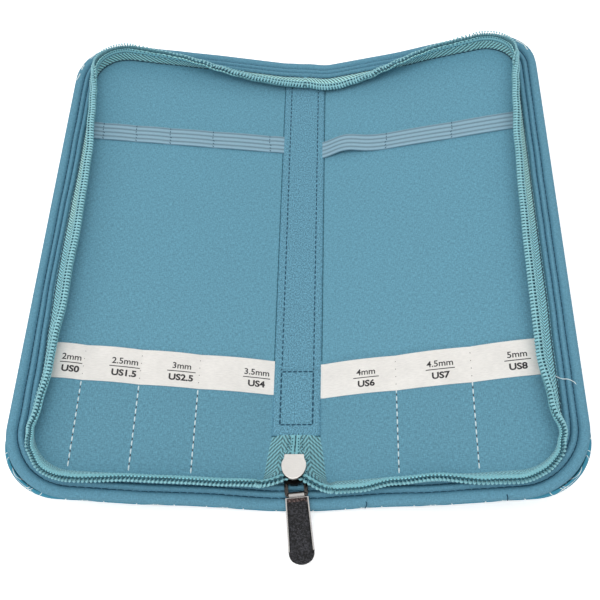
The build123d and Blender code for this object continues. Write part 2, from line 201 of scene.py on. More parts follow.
def waver(size, *place):
    """A slow, steady unevenness, about -1 to 1, over a length of `size`."""
    return noise.noise(Vector(place + (0,) * (3 - len(place))) / size)


class Half:
    """One side of the case, unrolled: u out from the middle, v along the spine, h upwards."""

    def __init__(self, sizes, side, name):
        self.sizes, self.side, self.name = sizes, side, name
        self.half = sizes.case_length / 2
        self.spine = sizes.spine_width / 2
        self.edge = self.spine + sizes.cover_width
        self.tilt, self.rise, self.ease = sizes.open_tilt, sizes.fold_height, sizes.fold_ease
        self.bend = self.ease / tan(self.tilt / 2)
        self.lining = -sizes.lining_drop
        self.corner = sizes.edge_corner
        self.front = self.edge - self.corner
        self.arc = self.corner * pi / 2
        self.rim_length = 2 * (self.front + self.arc + self.half - self.corner)

    def point(self, u, v, h):
        """Where an unrolled point lies on the open case."""
        share = clamp((abs(v) - STEADY) / (self.half - STEADY))
        if share:
            drift = between(END_DRIFT[self.side, 1 if v > 0 else -1], u / MM)
            v += eased(share) * drift * MM
        if u <= self.spine - self.ease:
            x, z = u, h
        elif u >= self.spine + self.ease:
            out = u - self.spine
            x = self.spine + out * cos(self.tilt) - h * sin(self.tilt)
            z = out * sin(self.tilt) + h * cos(self.tilt)
        else:
            angle = self.tilt * (u - self.spine + self.ease) / (2 * self.ease)
            x = self.spine - self.ease + (self.bend - h) * sin(angle)
            z = self.bend - (self.bend - h) * cos(angle)
        return Vector((self.side * x, v, self.rise + z))

    def rim(self, along):
        """A place on the rim, by its distance from the front's middle: u, v and the way in."""
        way = 1 if along <= self.rim_length / 2 else -1
        if way < 0:
            along = self.rim_length - along
        turn = clamp((along - self.front) / self.corner, 0, pi / 2)
        u = min(along, self.front) + self.corner * sin(turn)
        v = self.corner * (1 - cos(turn)) - self.half + max(along - self.front - self.arc, 0)
        return u, way * v, -sin(turn), way * cos(turn)

    def rim_point(self, along, inset, h):
        u, v, in_u, in_v = self.rim(along)
        return self.point(u + inset * in_u, v + inset * in_v, h)

    def give(self, piece):
        """Bakes the piece's transform into its mesh."""
        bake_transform(piece)

    def cloth(self, name, grid, shape, finish, slot, thick=0.0, offset=-1.0, under=False,
              sheet=None, nodes=(), middle=()):
        """Makes the cloth of shape(half, a, b), `thick` mm. Its `sheet` is not used."""
        mesh = cloth_grid(*grid, lambda a, b: shape(self, a, b))
        if (self.side < 0) != under:
            turn_faces(mesh)
        piece = self.sewn(name, mesh, finish, slot, nodes, middle)
        if thick:
            thicken(piece, thick * MM, offset)
        return piece

    def sewn(self, name, mesh, finish, slot=None, nodes=(), middle=(), stiff=False):
        """Makes a piece with its transform baked in, or riding on its cover where it is stiff.

        It stands for its own side's solids, `nodes`, and on the left for the spine's, `middle`.
        """
        piece = add_piece(f"{self.name}_{name}", mesh, finish, slot)
        if stiff:
            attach(piece, f"{self.name}_cover")
        else:
            self.give(piece)
        solids = [f"{self.name}_{node}" for node in nodes] + list(middle if self.side < 0 else ())
        if solids:
            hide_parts(*solids)
        return piece

    def places(self, spot, start, end, pitch):
        """Places of stitches from start to end, mm. spot(distance) gives each one's u, v and h."""
        return row_places(lambda at: (self.point(*spot(at)), UP), start * MM, end * MM, pitch * MM)

    def row(self, mesh, spot, start, end, pitch, radius, length, sink=0.55):
        """Adds the stitches of places(...), with their radius and length in mm."""
        places = self.places(spot, start, end, pitch)
        stitch_row(mesh, places, radius * MM, length * MM, sink)


def halves(context, kind=Half):
    for side, name in ((-1, "left"), (1, "right")):
        yield kind(context.scene.case_sizes, side, name)


# ---------------------------------------------------------------- making pieces
def soften(mesh):
    for face in mesh.faces:
        face.smooth = True
    return mesh


def turn_faces(mesh):
    bmesh.ops.reverse_faces(mesh, faces=mesh.faces[:])


def face_outwards(mesh):
    bmesh.ops.recalc_face_normals(mesh, faces=mesh.faces[:])


def cloth_grid(columns, rows, shape):
    """A grid with each place (a, b), 0 to 1, at shape(a, b): a point, and a place on flat cloth."""
    grid = bmesh.new()
    layer = grid.loops.layers.uv.new("cloth")
    bmesh.ops.create_grid(grid, x_segments=columns, y_segments=rows, size=0.5)
    flat = {}
    for vert in grid.verts:
        vert.co, flat[vert] = shape(vert.co.x + 0.5, vert.co.y + 0.5)
    for face in grid.faces:
        for loop in face.loops:
            loop[layer].uv = flat[loop.vert]
    for edge in grid.edges:
        edge.smooth = not edge.is_boundary
    return soften(grid)


def add_piece(name, mesh, finish, slot=None):
    """Makes a piece of a finished bmesh."""
    data = bpy.data.meshes.new(name)
    mesh.to_mesh(data)
    mesh.free()
    piece = bpy.data.objects.new(name, data)
    bpy.context.scene.collection.objects.link(piece)
    data.materials.append(finish_of(finish))
    return piece


def thicken(piece, thickness, offset):
    """Gives a sheet its thickness: under it at an offset of -1, to both sides at 0."""
    solidify = piece.modifiers.new("thickness", "SOLIDIFY")
    solidify.thickness, solidify.offset = thickness, offset
    solidify.use_even_offset = solidify.use_quality_normals = True


def join(mesh, other):
    """Moves the shapes of another bmesh into this one."""
    made = bpy.data.meshes.new("joined")
    other.to_mesh(made)
    other.free()
    mesh.from_mesh(made)
    bpy.data.meshes.remove(made)


def stitch_row(mesh, places, radius, length, sink=0.55):
    """Adds a row of stitches. Each place is a middle, a direction and the way up from the cloth."""
    batch = 30  # few at a time, because a large mesh slows each new shape
    for first in range(0, len(places), batch):
        few = bmesh.new()
        for middle, along, up in places[first : first + batch]:
            along = along.normalized()
            across = up.cross(along).normalized()
            up = along.cross(across)
            ball = bmesh.ops.create_uvsphere(few, u_segments=6, v_segments=6, radius=1)
            for vert in ball["verts"]:
                x, y, z = vert.co
                wide = radius * 1.15 if abs(z) < 0.95 else 0
                high = y * wide * 0.8 - sink * radius * 2 * z**2
                vert.co = middle + along * z * length / 2 + across * x * wide + up * high
        join(mesh, soften(few))


def row_places(line, start, end, pitch, ahead=0.5 * MM, behind=0.0):
    """Places of stitches along line(distance), which gives a point and the way up."""
    count = max(1, round((end - start) / pitch))
    places = []
    for number in range(count):
        at = start + (end - start) * (number + 0.5) / count
        point, up = line(at)
        places.append((point, line(at + ahead)[0] - line(at - behind)[0], up))
    return places


def lay_thread(mesh, points, radius):
    """Adds a thread along a row of points, in short overlapping lengths."""
    pairs = list(zip(points, points[1:]))
    longest = max((q - p).length for p, q in pairs)
    stitch_row(mesh, [((p + q) / 2, q - p, UP) for p, q in pairs], radius, longest * 1.3, 0.1)


# ---------------------------------------------------------------- materials
class Tree:
    """A node tree, and short ways to add nodes to it."""

    def __init__(self, tree):
        self.nodes, self.links = tree.nodes, tree.links

    def feed(self, socket, value):
        """Links an output to a socket, or sets the socket's value."""
        if hasattr(value, "is_output"):
            self.links.new(value, socket)
        else:
            socket.default_value = value

    def node(self, kind, inputs=(), **settings):
        made = self.nodes.new("ShaderNode" + kind)
        for name, value in settings.items():
            setattr(made, name, value)
        for key, value in dict(inputs).items():
            self.feed(made.inputs[key], value)
        return made

    def math(self, operation, *values):
        return self.node("Math", enumerate(values), operation=operation).outputs[0]

    def times(self, *values):
        return self.math("MULTIPLY", *values)

    def times_plus(self, *values):
        return self.math("MULTIPLY_ADD", *values)


class Finish(Tree):
    """A material of one base colour."""

    def __init__(self, name, base, roughness=0.8, metallic=0.0, specular=0.5):
        self.material = bpy.data.materials.new(name)
        self.material.use_nodes = True
        super().__init__(self.material.node_tree)
        self.base = tuple(base)
        self.shader = self.nodes["Principled BSDF"]
        self.material.diffuse_color = (*base, 1)
        self.colour((*base, 1))
        self.rough(roughness)
        self.set("Metallic", metallic)
        self.set("Specular IOR Level", specular)

    def set(self, socket, value):
        self.feed(self.shader.inputs[socket], value)

    def colour(self, value):
        self.set("Base Color", value)

    def rough(self, value):
        self.set("Roughness", value)

    def cloth(self, x=1, y=1):
        """Places on the flat cloth, in metres, times x and y."""
        source = self.node("UVMap", uv_map="cloth").outputs["UV"]
        return self.node("Mapping", {"Vector": source, "Scale": (x, y, 1)}).outputs["Vector"]

    def solid(self, y=1):
        """Places in the object, in metres, times y along the case."""
        source = self.node("TexCoord").outputs["Object"]
        return self.node("Mapping", {"Vector": source, "Scale": (1, y, 1)}).outputs["Vector"]

    def parts(self, place):
        return self.node("SeparateXYZ", {"Vector": place}).outputs[:2]

    def noise(self, place, scale, detail=3.0, roughness=0.55):
        inputs = {"Vector": place, "Scale": scale, "Detail": detail, "Roughness": roughness}
        return self.node("TexNoise", inputs).outputs["Fac"]

    def wave(self, value, length=1.0):
        return self.math("SINE", self.times(value, 2 * pi / length))

    def weave(self, place, pitch):
        """Height of a plain weave, 0 to 1: threads over and under each other at that pitch."""
        x, y = self.parts(place)
        crossed = self.times(self.wave(x, pitch), self.wave(y, pitch))
        return self.times_plus(crossed, 0.5, 0.5)

    def spread(self, value, low, high, new_low=0.0, new_high=1.0):
        """A value moved from one range to another."""
        ends = {"From Min": low, "From Max": high, "To Min": new_low, "To Max": new_high}
        return self.node("MapRange", {"Value": value, **ends}).outputs["Result"]

    def mix(self, share, *colours):
        """A colour between two, each a colour or an output."""
        first, second = (c if hasattr(c, "is_output") else (*c, 1) for c in colours)
        sockets = {0: share, 6: first, 7: second}  # the mix node has a pair for each kind of value
        return self.node("Mix", sockets, data_type="RGBA").outputs[2]

    def tone(self, share, dark, light):
        """The base colour times a number between two."""
        return self.mix(share, shade(self.base, dark), shade(self.base, light))

    def bump(self, height, depth, strength):
        inputs = {"Height": height, "Distance": depth, "Strength": strength}
        self.set("Normal", self.node("Bump", inputs).outputs["Normal"])


def shade(base, factor):
    return tuple(min(1, part * factor) for part in base)


def woven_cloth(name, base, mottle=0.42, sheen=0.15, nap=0.0):
    """Plain cotton-like cloth: fine weave, slubs along both threads and slow changes of tone."""
    finish = Finish(name, base, roughness=0.86, specular=0.25)
    warp = finish.noise(finish.cloth(0.5, 1.8), 1500, 2)
    weft = finish.noise(finish.cloth(1.8, 0.5), 1500, 2)
    slow = finish.noise(finish.cloth(), 45)
    weave = finish.weave(finish.cloth(), 0.45 * MM)
    fine = finish.times_plus(weave, 0.3, finish.math("ADD", warp, weft))
    lit = finish.tone(finish.spread(fine, 0.8, 1.5), 1 - mottle, 1 + mottle)
    if nap:
        brushed = finish.noise(finish.cloth(1, 0.7), 1900, 3, 0.75)
        lit = finish.tone(finish.spread(brushed, 0.32, 0.68), 1 - nap, 1 + nap)
        fine = finish.times_plus(brushed, 2.2, fine)
    tone_and_groove_shade = finish.tone(finish.spread(slow, 0.3, 0.7), 0.95, 1.05)
    finish.colour(finish.mix(0.72, tone_and_groove_shade, lit))
    finish.rough(finish.spread(slow, 0.3, 0.7, 0.82, 0.92))
    finish.set("Sheen Weight", sheen)
    finish.set("Sheen Roughness", 0.5)
    finish.set("Sheen Tint", (*shade(base, 1.6), 1))
    finish.bump(fine, 0.16 * MM, 0.6)
    return finish.material


def twill_tape(name, base):
    """Zip tape: ribs that slant one way and then the other, as a herringbone, with painted shade in
    the valleys between the ribs, painted shade on the flat flare by the slider and painted light
    over the far half round the far corners.
    """
    finish = Finish(name, base, roughness=0.8, specular=0.3)
    along, across = finish.parts(finish.cloth())
    slant = finish.times_plus(finish.math("PINGPONG", across, 3.6 * MM), 1.4, along)
    picks = finish.wave(across, 0.9 * MM)
    ribs = finish.times_plus(picks, 0.35, finish.wave(slant, 1.7 * MM))
    grain = finish.noise(finish.cloth(), 1700)
    height = finish.times_plus(grain, 0.4, finish.spread(ribs, -0.9, 0.9))
    # painted shade: darker on the flare that lies flat by the slider
    flat = finish.spread(along, 0.012, 0.03, 0.56, 1)
    # painted light: lighter ribs over the far half of the tape, round the far corners, where it
    # stands side-on to the lamps
    standing = finish.tone(finish.spread(along, 0.255, 0.275), 1.62, 2.3)
    # the weave's own ribs, with painted shade that darkens their valleys towards 0.3 of the base
    # colour
    raised = finish.times(finish.spread(height, 0.2, 1.2), flat)
    finish.colour(finish.mix(raised, shade(base, 0.3), standing))
    finish.set("Sheen Weight", 0.15)
    finish.bump(height, 0.28 * MM, 0.8)
    return finish.material


def ribbed_elastic(name, base):
    """Elastic band: cords that run along it, with a fine weave between them, and painted shade in
    the grooves between the cords.
    """
    finish = Finish(name, base, roughness=0.75, specular=0.3)
    along, across = finish.parts(finish.cloth())
    cords = finish.math("POWER", finish.spread(finish.wave(across, 2.35 * MM), -1, 1), 0.45)
    picks = finish.spread(finish.wave(along, 0.6 * MM), -1, 1)
    fine = finish.times_plus(picks, 0.12, cords)
    grain = finish.noise(finish.cloth(0.3), 2500, 2)
    # random grain, and painted shade: the colour darkens in the grooves between the cords
    tone_and_groove_shade = finish.spread(finish.times_plus(grain, 0.3, fine), 0.25, 1.3)
    finish.colour(finish.tone(tone_and_groove_shade, 0.55, 1.12))
    finish.bump(fine, 0.3 * MM, 0.8)
    return finish.material


def cotton_ribbon(name, base):
    """Matt cotton ribbon with fine cross ribs."""
    finish = Finish(name, base, roughness=0.92, specular=0.15)
    grain = finish.noise(finish.cloth(0.4, 1.5), 1300)
    tone_and_groove_shade = finish.times_plus(finish.noise(finish.cloth(), 90, 2), 0.8, grain)
    finish.colour(finish.tone(finish.spread(tone_and_groove_shade, 0.55, 1.2), 0.88, 1.04))
    weave = finish.weave(finish.cloth(), 0.34 * MM)
    finish.bump(finish.times_plus(grain, 1.2, weave), 0.1 * MM, 0.6)
    return finish.material


def printed_cloth(name, base, line):
    """Outer cloth printed with thin overlapping rings, like fish scales."""
    finish = Finish(name, base, roughness=0.8, specular=0.3)
    size = 26 * MM
    rings = 0
    for shift in (0.0, 0.5):
        far = []
        for across in finish.parts(finish.cloth()):
            cell = finish.times_plus(across, 1 / size, shift + 10)
            cell = finish.math("SUBTRACT", finish.math("FRACT", cell), 0.5)
            far.append(finish.times(cell, size))
        squared = finish.times(far[1], far[1])
        reach = finish.math("SQRT", finish.times_plus(far[0], far[0], squared))
        for radius in (12.2 * MM, 6.1 * MM):
            off = finish.math("ABSOLUTE", finish.math("SUBTRACT", reach, radius))
            mark = finish.spread(off, 0.14 * MM, 0.3 * MM, 1, 0)
            rings = finish.math("MAXIMUM", rings, mark)
    grain = finish.noise(finish.cloth(), 1800)
    tone_and_groove_shade = finish.times_plus(finish.noise(finish.cloth(), 40), 0.7, grain)
    ground = finish.tone(finish.spread(tone_and_groove_shade, 0.5, 1.15), 0.85, 1.12)
    printed = finish.times(rings, finish.spread(grain, 0.25, 0.5, 0.6, 1))
    finish.colour(finish.mix(printed, ground, line))
    finish.set("Sheen Weight", 0.15)
    weave = finish.weave(finish.cloth(), 0.5 * MM)
    finish.bump(finish.times_plus(weave, 0.4, grain), 0.12 * MM, 0.5)
    return finish.material


def thread_finish(name, base, sheen=0.1):
    """Twisted sewing thread."""
    finish = Finish(name, base, roughness=0.7, specular=0.35)
    grain = finish.noise(finish.solid(), 5200, 2)
    finish.colour(finish.tone(finish.spread(grain, 0.3, 0.7), 0.7, 1.2))
    finish.set("Sheen Weight", sheen)
    finish.bump(grain, 0.1 * MM, 0.5)
    return finish.material


def nylon_coil(name, base, painted_shade_colour):
    """Moulded nylon: smooth, slightly glossy and a little cloudy, with painted shade on the inner
    half of each turn, which faces the tape.
    """
    finish = Finish(name, base, roughness=0.42)
    cloudy = finish.noise(finish.solid(), 260, 2)
    turn = finish.parts(finish.cloth())[0]
    # painted shade: each turn darkens on its inner half, towards the painted shade colour
    outer = finish.spread(finish.wave(turn), -0.6, 0.5, 0.42, 1)
    lit = finish.times(finish.spread(cloudy, 0.3, 0.7, 0.82, 1), outer)
    finish.colour(finish.mix(lit, painted_shade_colour, shade(base, 1.12)))
    finish.rough(finish.spread(cloudy, 0.3, 0.7, 0.36, 0.5))
    finish.bump(finish.noise(finish.solid(), 3000, 1), 0.05 * MM, 0.3)
    return finish.material


def metal_finish(name, base, roughness, painted_edge_highlight=1.0):
    """Plated metal with faint brushing. A last number above 1 paints a highlight on its rounded
    edges, that many times paler.
    """
    finish = Finish(name, base, roughness, metallic=1.0)
    brushed = finish.noise(finish.solid(6), 700, 4)
    rough = finish.spread(brushed, 0.25, 0.75, roughness * 0.75, roughness * 1.3)
    plated = finish.tone(finish.spread(brushed, 0.3, 0.8), 0.9, 1.05)
    # painted highlight on the rounded edges between the flat faces and the rims
    if painted_edge_highlight > 1:
        tilt = finish.parts(finish.cloth())[0]
        inner, outer = finish.spread(tilt, 0.04, 0.3), finish.spread(tilt, 0.98, 0.7)
        edge = finish.times(inner, outer)
        plated = finish.mix(edge, plated, shade(base, painted_edge_highlight))
    finish.colour(plated)
    finish.rough(rough)
    finish.bump(brushed, 0.03 * MM, 0.3)
    return finish.material


def grained_leather(name, base):
    """Dyed leather: a grain of small cells, shiny on its ridges."""
    finish = Finish(name, base, roughness=0.5, specular=0.3)
    inputs = {"Vector": finish.solid(), "Scale": 1500}
    cells = finish.node("TexVoronoi", inputs, feature="DISTANCE_TO_EDGE").outputs["Distance"]
    spots = finish.noise(finish.solid(), 1300, 4, 0.7)
    finish.colour(finish.tone(finish.spread(spots, 0.46, 0.63), 0.35, 4.4))
    finish.rough(finish.spread(spots, 0.3, 0.7, 0.7, 0.4))
    height = finish.times_plus(spots, 0.8, finish.spread(cells, 0.0, 0.25))
    finish.bump(height, 0.2 * MM, 0.9)
    return finish.material


def floor_finish(name, base):
    """Matt floor that looks white to the camera and keeps its shadows."""
    finish = Finish(name, base, roughness=0.9, specular=0.1)
    plain = finish.shader.outputs[0]
    glow = finish.node("Emission", {"Strength": 0.5}).outputs[0]
    both = finish.node("AddShader", {0: plain, 1: glow}).outputs[0]
    seen = finish.node("LightPath").outputs["Is Camera Ray"]
    shown = finish.node("MixShader", {0: seen, 1: plain, 2: both}).outputs[0]
    finish.feed(finish.nodes["Material Output"].inputs["Surface"], shown)
    return finish.material


@cache
def finish_of(key):
    """The finish of that name, made when first asked for."""
    tints = bpy.context.scene.case_colours
    light, dark = tints.light_thread, tints.dark_thread
    ring = shade(tints.ring_steel, 0.55)
    maker, base, settings = {
        "lining_cloth": (woven_cloth, tints.lining, {}),
        "pocket_cloth": (woven_cloth, shade(tints.lining, 0.92), {"mottle": 0.44}),
        "binding_cloth": (woven_cloth, tints.binding, {"mottle": 0.34}),
        "brushed_strip": (woven_cloth, tints.strip, {"sheen": 0.25, "nap": 0.8}),
        "tape_fold": (woven_cloth, tints.tape_fold, {"mottle": 0.22}),
        "zip_tape": (twill_tape, tints.tape, {}),
        # the coil's turns take painted shade in the core cord's dark colour
        "zip_coil": (nylon_coil, tints.coil, {"painted_shade_colour": tints.coil_core}),
        "elastic": (ribbed_elastic, tints.elastic, {}),
        "label_ribbon": (cotton_ribbon, tints.ribbon, {}),
        "printed_cloth": (printed_cloth, tints.print_ground, {"line": tints.print_line}),
        "dark_thread": (thread_finish, dark, {}),
        "light_thread": (thread_finish, light, {}),
        "stray_thread": (thread_finish, light, {}),
        "printed_line": (thread_finish, light, {}),
        # painted shadow at the tape's root
        "root_thread": (thread_finish, shade(dark, 0.7), {}),
        # dark thread in the core cord's colour; the strip's painted shadow line is made of it too
        "seam_thread": (thread_finish, tints.coil_core, {}),
        # the core cord, dark with painted shade
        "coil_core": (thread_finish, tints.coil_core, {}),
        "zip_thread": (thread_finish, tints.zip_thread, {}),
        "needle_hole": (thread_finish, tints.needle_hole, {"sheen": 0.0}),
        "ink": (thread_finish, tints.ink, {"sheen": 0.0}),
        "slider_plate": (metal_finish, tints.plate, {"roughness": 0.38}),
        "pull_metal": (metal_finish, tints.steel, {"roughness": 0.24}),
        # the ring's rounded edges carry a painted highlight
        "ring_metal": (metal_finish, ring, {"roughness": 0.2, "painted_edge_highlight": 9}),
        "dark_metal": (metal_finish, tints.dark_steel, {"roughness": 0.3}),
        "black_leather": (grained_leather, tints.leather, {}),
        "brown_leather": (grained_leather, tints.leather_edge, {}),
        "floor": (floor_finish, (0.93, 0.93, 0.93), {}),
    }[key]
    return maker(key, base, **settings)


# ---------------------------------------------------------------- padded covers
TURNED_IN = 2.4 * MM  # cloth taken up by the turned edge
TURNED_EDGE = (  # distance in from the cut edge, inset from the outline and height, mm
    (0, 1.1, -1.9), (0.5, 0.35, -2.0), (1.3, 0.0, -2.6), (2.1, 0.1, -3.3), (3.0, 0.7, -3.95),
    (4.4, 2.0, -4.3), (6.4, 4.0, -4.4),
)


def turned_edge(case, inside):
    """Where cloth lies at a distance inside its cut edge: inset from the outline, and height."""
    inside /= MM
    end, inset, _ = TURNED_EDGE[-1]
    if inside >= end:
        return (inside - end + inset) * MM, -case.rise
    at = 0
    while TURNED_EDGE[at + 1][0] < inside:
        at += 1
    start, stop = TURNED_EDGE[at][0], TURNED_EDGE[at + 1][0]
    _, inset, h = smooth_line(TURNED_EDGE, at + (inside - start) / (stop - start))
    return inset * MM, h * MM


def cover_shape(case, a, b):
    """The outer cloth, from the middle of the spine round the cover's three edges."""
    corner, half, out = case.sizes.cover_corner, case.half + TURNED_IN, case.edge + TURNED_IN
    near_edge = 10 * MM
    columns = (0, 0), (0.12, 17 * MM), (0.7, case.edge - near_edge), (1, out)
    rows = (0, -half), (0.14, near_edge - case.half), (0.86, case.half - near_edge), (1, half)
    u, v = straight(columns, a), straight(rows, b)
    flat = (case.side * u, v)
    into_u, into_v = u - (case.edge - corner), abs(v) - (case.half - corner)
    way = 1 if v > 0 else -1
    if into_u > 0 and into_v > 0:
        reach = corner + TURNED_IN
        p, q = into_u / reach, into_v / reach
        p, q = p * sqrt(1 - q * q / 2), q * sqrt(1 - p * p / 2)
        inset, h = turned_edge(case, (1 - hypot(p, q)) * reach)
        turn = atan2(q, p)
        u = case.edge - corner + (corner - inset) * cos(turn)
        v = way * (case.half - corner + (corner - inset) * sin(turn))
    elif into_u > 0 and out - u < half - abs(v):
        inset, h = turned_edge(case, out - u)
        u = case.edge - inset
    else:
        inset, h = turned_edge(case, half - abs(v))
        v = way * (case.half - inset)
    if u > case.spine + 4 * MM:
        puff = clamp((inset - 2 * MM) / (14 * MM))
        h += 0.12 * MM * puff * waver(0.02, u * case.side, v)
    return case.point(u, v, h), flat


class NEEDLECASE_OT_covers(bpy.types.Operator):
    """Makes the two padded halves of the printed outer cover"""

    bl_idname = "needlecase.covers"
    bl_label = "Padded covers"

    def execute(self, context):
        for case in halves(context):
            piece = case.cloth(
                "padded_cover", (96, 150), cover_shape, "printed_cloth", "printed_cloth", 0.6,
                under=True, nodes=("cover", "padding", "board"),
                middle=("spine_cover", "spine_padding", "spine_board"),
            )
        return {"FINISHED"}


# ---------------------------------------------------------------- linings and pockets
LINING_INSET = 7.4 * MM  # lining's edge, in from the case's
POCKET_SEAMS = {-1: (76.7, 54.2, 30.8), 1: (31.1, 60.8)}  # dividers, mm out from the fold
POCKET_ENDS = (2.0, 90.5)  # seams at the pockets' ends, mm out from the fold
POCKET_REACH = (0.3 * MM, 91.4 * MM)  # the pocket cloth's ends, out from the fold
POCKET_FOOT = (9.2 * MM, 11.5 * MM)  # its front edge and its seam there, in from the case's edge


def lining_height(case, u, v):
    quiet = clamp((u - case.spine - 2 * MM) / (20 * MM))
    slow, fine = waver(0.032, case.side * u, v, 4), waver(0.009, case.side * u, v, 9)
    return case.lining + quiet * (0.16 * slow + 0.05 * fine) * MM


def lining_shape(case, a, b):
    u = straight(((0, 0), (0.15, 18 * MM), (1, case.edge - LINING_INSET)), a)
    v = (2 * b - 1) * (case.half - LINING_INSET)
    return case.point(u, v, lining_height(case, u, v)), (case.side * u, v)


def pocket_height(case, u, v):
    """The pocket's cloth, which swells a little between its seams and towards its mouth."""
    out = (u - case.spine) / MM
    seams = sorted(POCKET_ENDS + POCKET_SEAMS[case.side])
    swell = 0.0
    for low, high in zip(seams, seams[1:]):
        if low <= out <= high:
            swell = sin(pi * (out - low) / (high - low)) ** 0.8
    foot = POCKET_FOOT[1] - case.half
    up = clamp((v - foot) / (case.sizes.pocket_top - foot))
    return case.lining + (0.35 + swell * (0.25 + 0.55 * up) * min(up * 6, 1)) * MM


def pocket_shape(case, a, b):
    near, far = POCKET_REACH
    low = POCKET_FOOT[0] - case.half
    u = case.spine + near + (far - near) * a
    v = low + (case.sizes.pocket_top - low) * b
    pattern_shift = 13 * MM
    return case.point(u, v, pocket_height(case, u, v)), (case.side * u, v + pattern_shift)


class NEEDLECASE_OT_linings(bpy.types.Operator):
    """Makes the lining of both covers and the row of pockets sewn on each"""

    bl_idname = "needlecase.linings"
    bl_label = "Linings and pockets"

    def execute(self, context):
        for case in halves(context):
            flat = (case.edge - LINING_INSET, 2 * (case.half - LINING_INSET))
            case.cloth(
                "lining_sheet", (76, 120), lining_shape, "lining_cloth", "lining_cloth", 0.3,
                sheet=(flat, "stretched", "padded_cover"), nodes=("lining",),
                middle=("spine_lining",),
            )
            near, far = POCKET_REACH
            flat = (far - near, case.sizes.pocket_top - POCKET_FOOT[0] + case.half)
            case.cloth(
                "pocket_cloth", (90, 44), pocket_shape, "pocket_cloth", "lining_cloth", 0.3,
                sheet=(flat, "stretched", "lining_sheet"), nodes=("pocket",),
            )
        return {"FINISHED"}


# ---------------------------------------------------------------- binding
BINDING_PROFILE = (  # inset from the edge and height above the fold lines, mm
    (1.3, -2.0), (0.5, -1.95), (0.0, -1.6), (-0.15, -1.0), (0.0, -0.2), (0.5, 0.45), (1.3, 0.85),
    (2.3, 0.95), (3.1, 0.75), (3.8, 0.15), (4.25, -0.55), (4.65, 0.05), (5.15, 0.65), (5.7, 0.85),
    (6.3, 0.65), (6.8, 0.0), (7.15, -0.6), (7.5, 0.05), (8.0, 0.65), (8.7, 0.75), (9.3, 0.45),
    (9.75, -0.1), (9.8, -0.6), (9.4, -0.85),
)
OUTER_ROLL = BINDING_PROFILE[4:8]
PROFILE_LAST = len(BINDING_PROFILE) - 1
FULL_WIDTH, FIXED_EDGE = 9.8, 1.3  # width of that profile, and its outer part that isn't narrowed
STITCH_ROWS = ((4.25, -0.55), (7.15, -0.6))  # inset and height of each row of stitches, mm
PRINTED_LINES = {  # both ends of each line: distance along the rim and inset, mm
    -1: (
        ((323, 0.4), (318, 1.2)), ((314, 0.2), (309, 1.3)), ((312, 1.3), (310, 0.3)),
        ((306, 1.4), (302, 0.3)),
    ),
    1: (
        ((338, 0.9), (334, 0.3)), ((332, 1.0), (327, 0.2)), ((329, 0.3), (325, 1.5)),
        ((322, 1.4), (316, 0.2)), ((318, 0.2), (313, 1.2)),
    ),
}
LOOSE_ENDS = (  # name, finish, radius and runs on the right binding: along the rim and inset, mm
    ("cut_ends", "dark_thread", 0.22, (
        ((27.7, 1.4), (27.9, 0.2), (27.2, -1.2)), ((79, 1.2), (79.2, 0), (79, -0.9)),
    )),
    ("stray_thread", "stray_thread", 0.18, (
        ((144.6, 9.6), (143.2, 7.4), (142.9, 5.4), (141.6, 3.4), (139.4, 2)),
    )),
)


def profile_lengths():
    """The number of each spot of the profile, and the length of the cloth up to it."""
    lengths = [(0, 0.0)]
    for (i0, h0), (i1, h1) in zip(BINDING_PROFILE, BINDING_PROFILE[1:]):
        lengths.append((len(lengths), lengths[-1][1] + hypot(i1 - i0, h1 - h0) * MM))
    return lengths


PROFILE_LENGTHS = profile_lengths()


@cache
def binding_section(a):
    return smooth_line(BINDING_PROFILE, a * PROFILE_LAST) * MM


def binding_height(case, along, inset, h):
    """Adds the pull of the stitches and a slow unevenness to the binding's height."""
    stitches = round(case.rim_length / case.sizes.stitch_pitch)
    pull = 0.5 - 0.5 * cos(2 * pi * along / case.rim_length * stitches)
    near = sum(exp(-(((inset / MM - row) / 0.9) ** 2)) for row, _ in STITCH_ROWS)
    slow = 0.28 * waver(0.016, along, inset * 0.6, case.side * 3 + 20)
    slow += 0.14 * waver(0.005, along, inset, case.side * 5)
    slow *= clamp(inset / MM, 0, 3) / 3 * (0.6 if h > -0.5 * MM else 0.2)
    return h + MM * (near * (0.22 * pull - 0.06) + slow)


def narrowed(case, along, inset):
    """Where a place on the binding's profile lies, drawn in where the binding is narrow."""
    reach = between(BINDING_REACH[case.side], along / MM) - FIXED_EDGE
    past = max(inset - FIXED_EDGE * MM, 0)
    return inset + past * (reach / (FULL_WIDTH - FIXED_EDGE) - 1)


def binding_shape(case, a, b):
    along = b * case.rim_length
    inset, h = binding_section(a)
    h = binding_height(case, along, inset, h)
    inset = narrowed(case, along, inset)
    inset += 0.18 * MM * waver(0.012, along, case.side * 7, 3) * clamp(inset / MM)
    return case.rim_point(along, inset, h), (along, straight(PROFILE_LENGTHS, a * PROFILE_LAST))


def stitch_line(case, row, height, along):
    """A point on a row of the binding's stitches, and the way up from the cloth."""
    h = binding_height(case, along, row * MM, height * MM) + 0.14 * MM
    inset = narrowed(case, along, row * MM) + 0.16 * MM * waver(0.007, along, row, case.side)
    point = case.rim_point(along, inset, h)
    return point, case.rim_point(along, inset, h + MM) - point


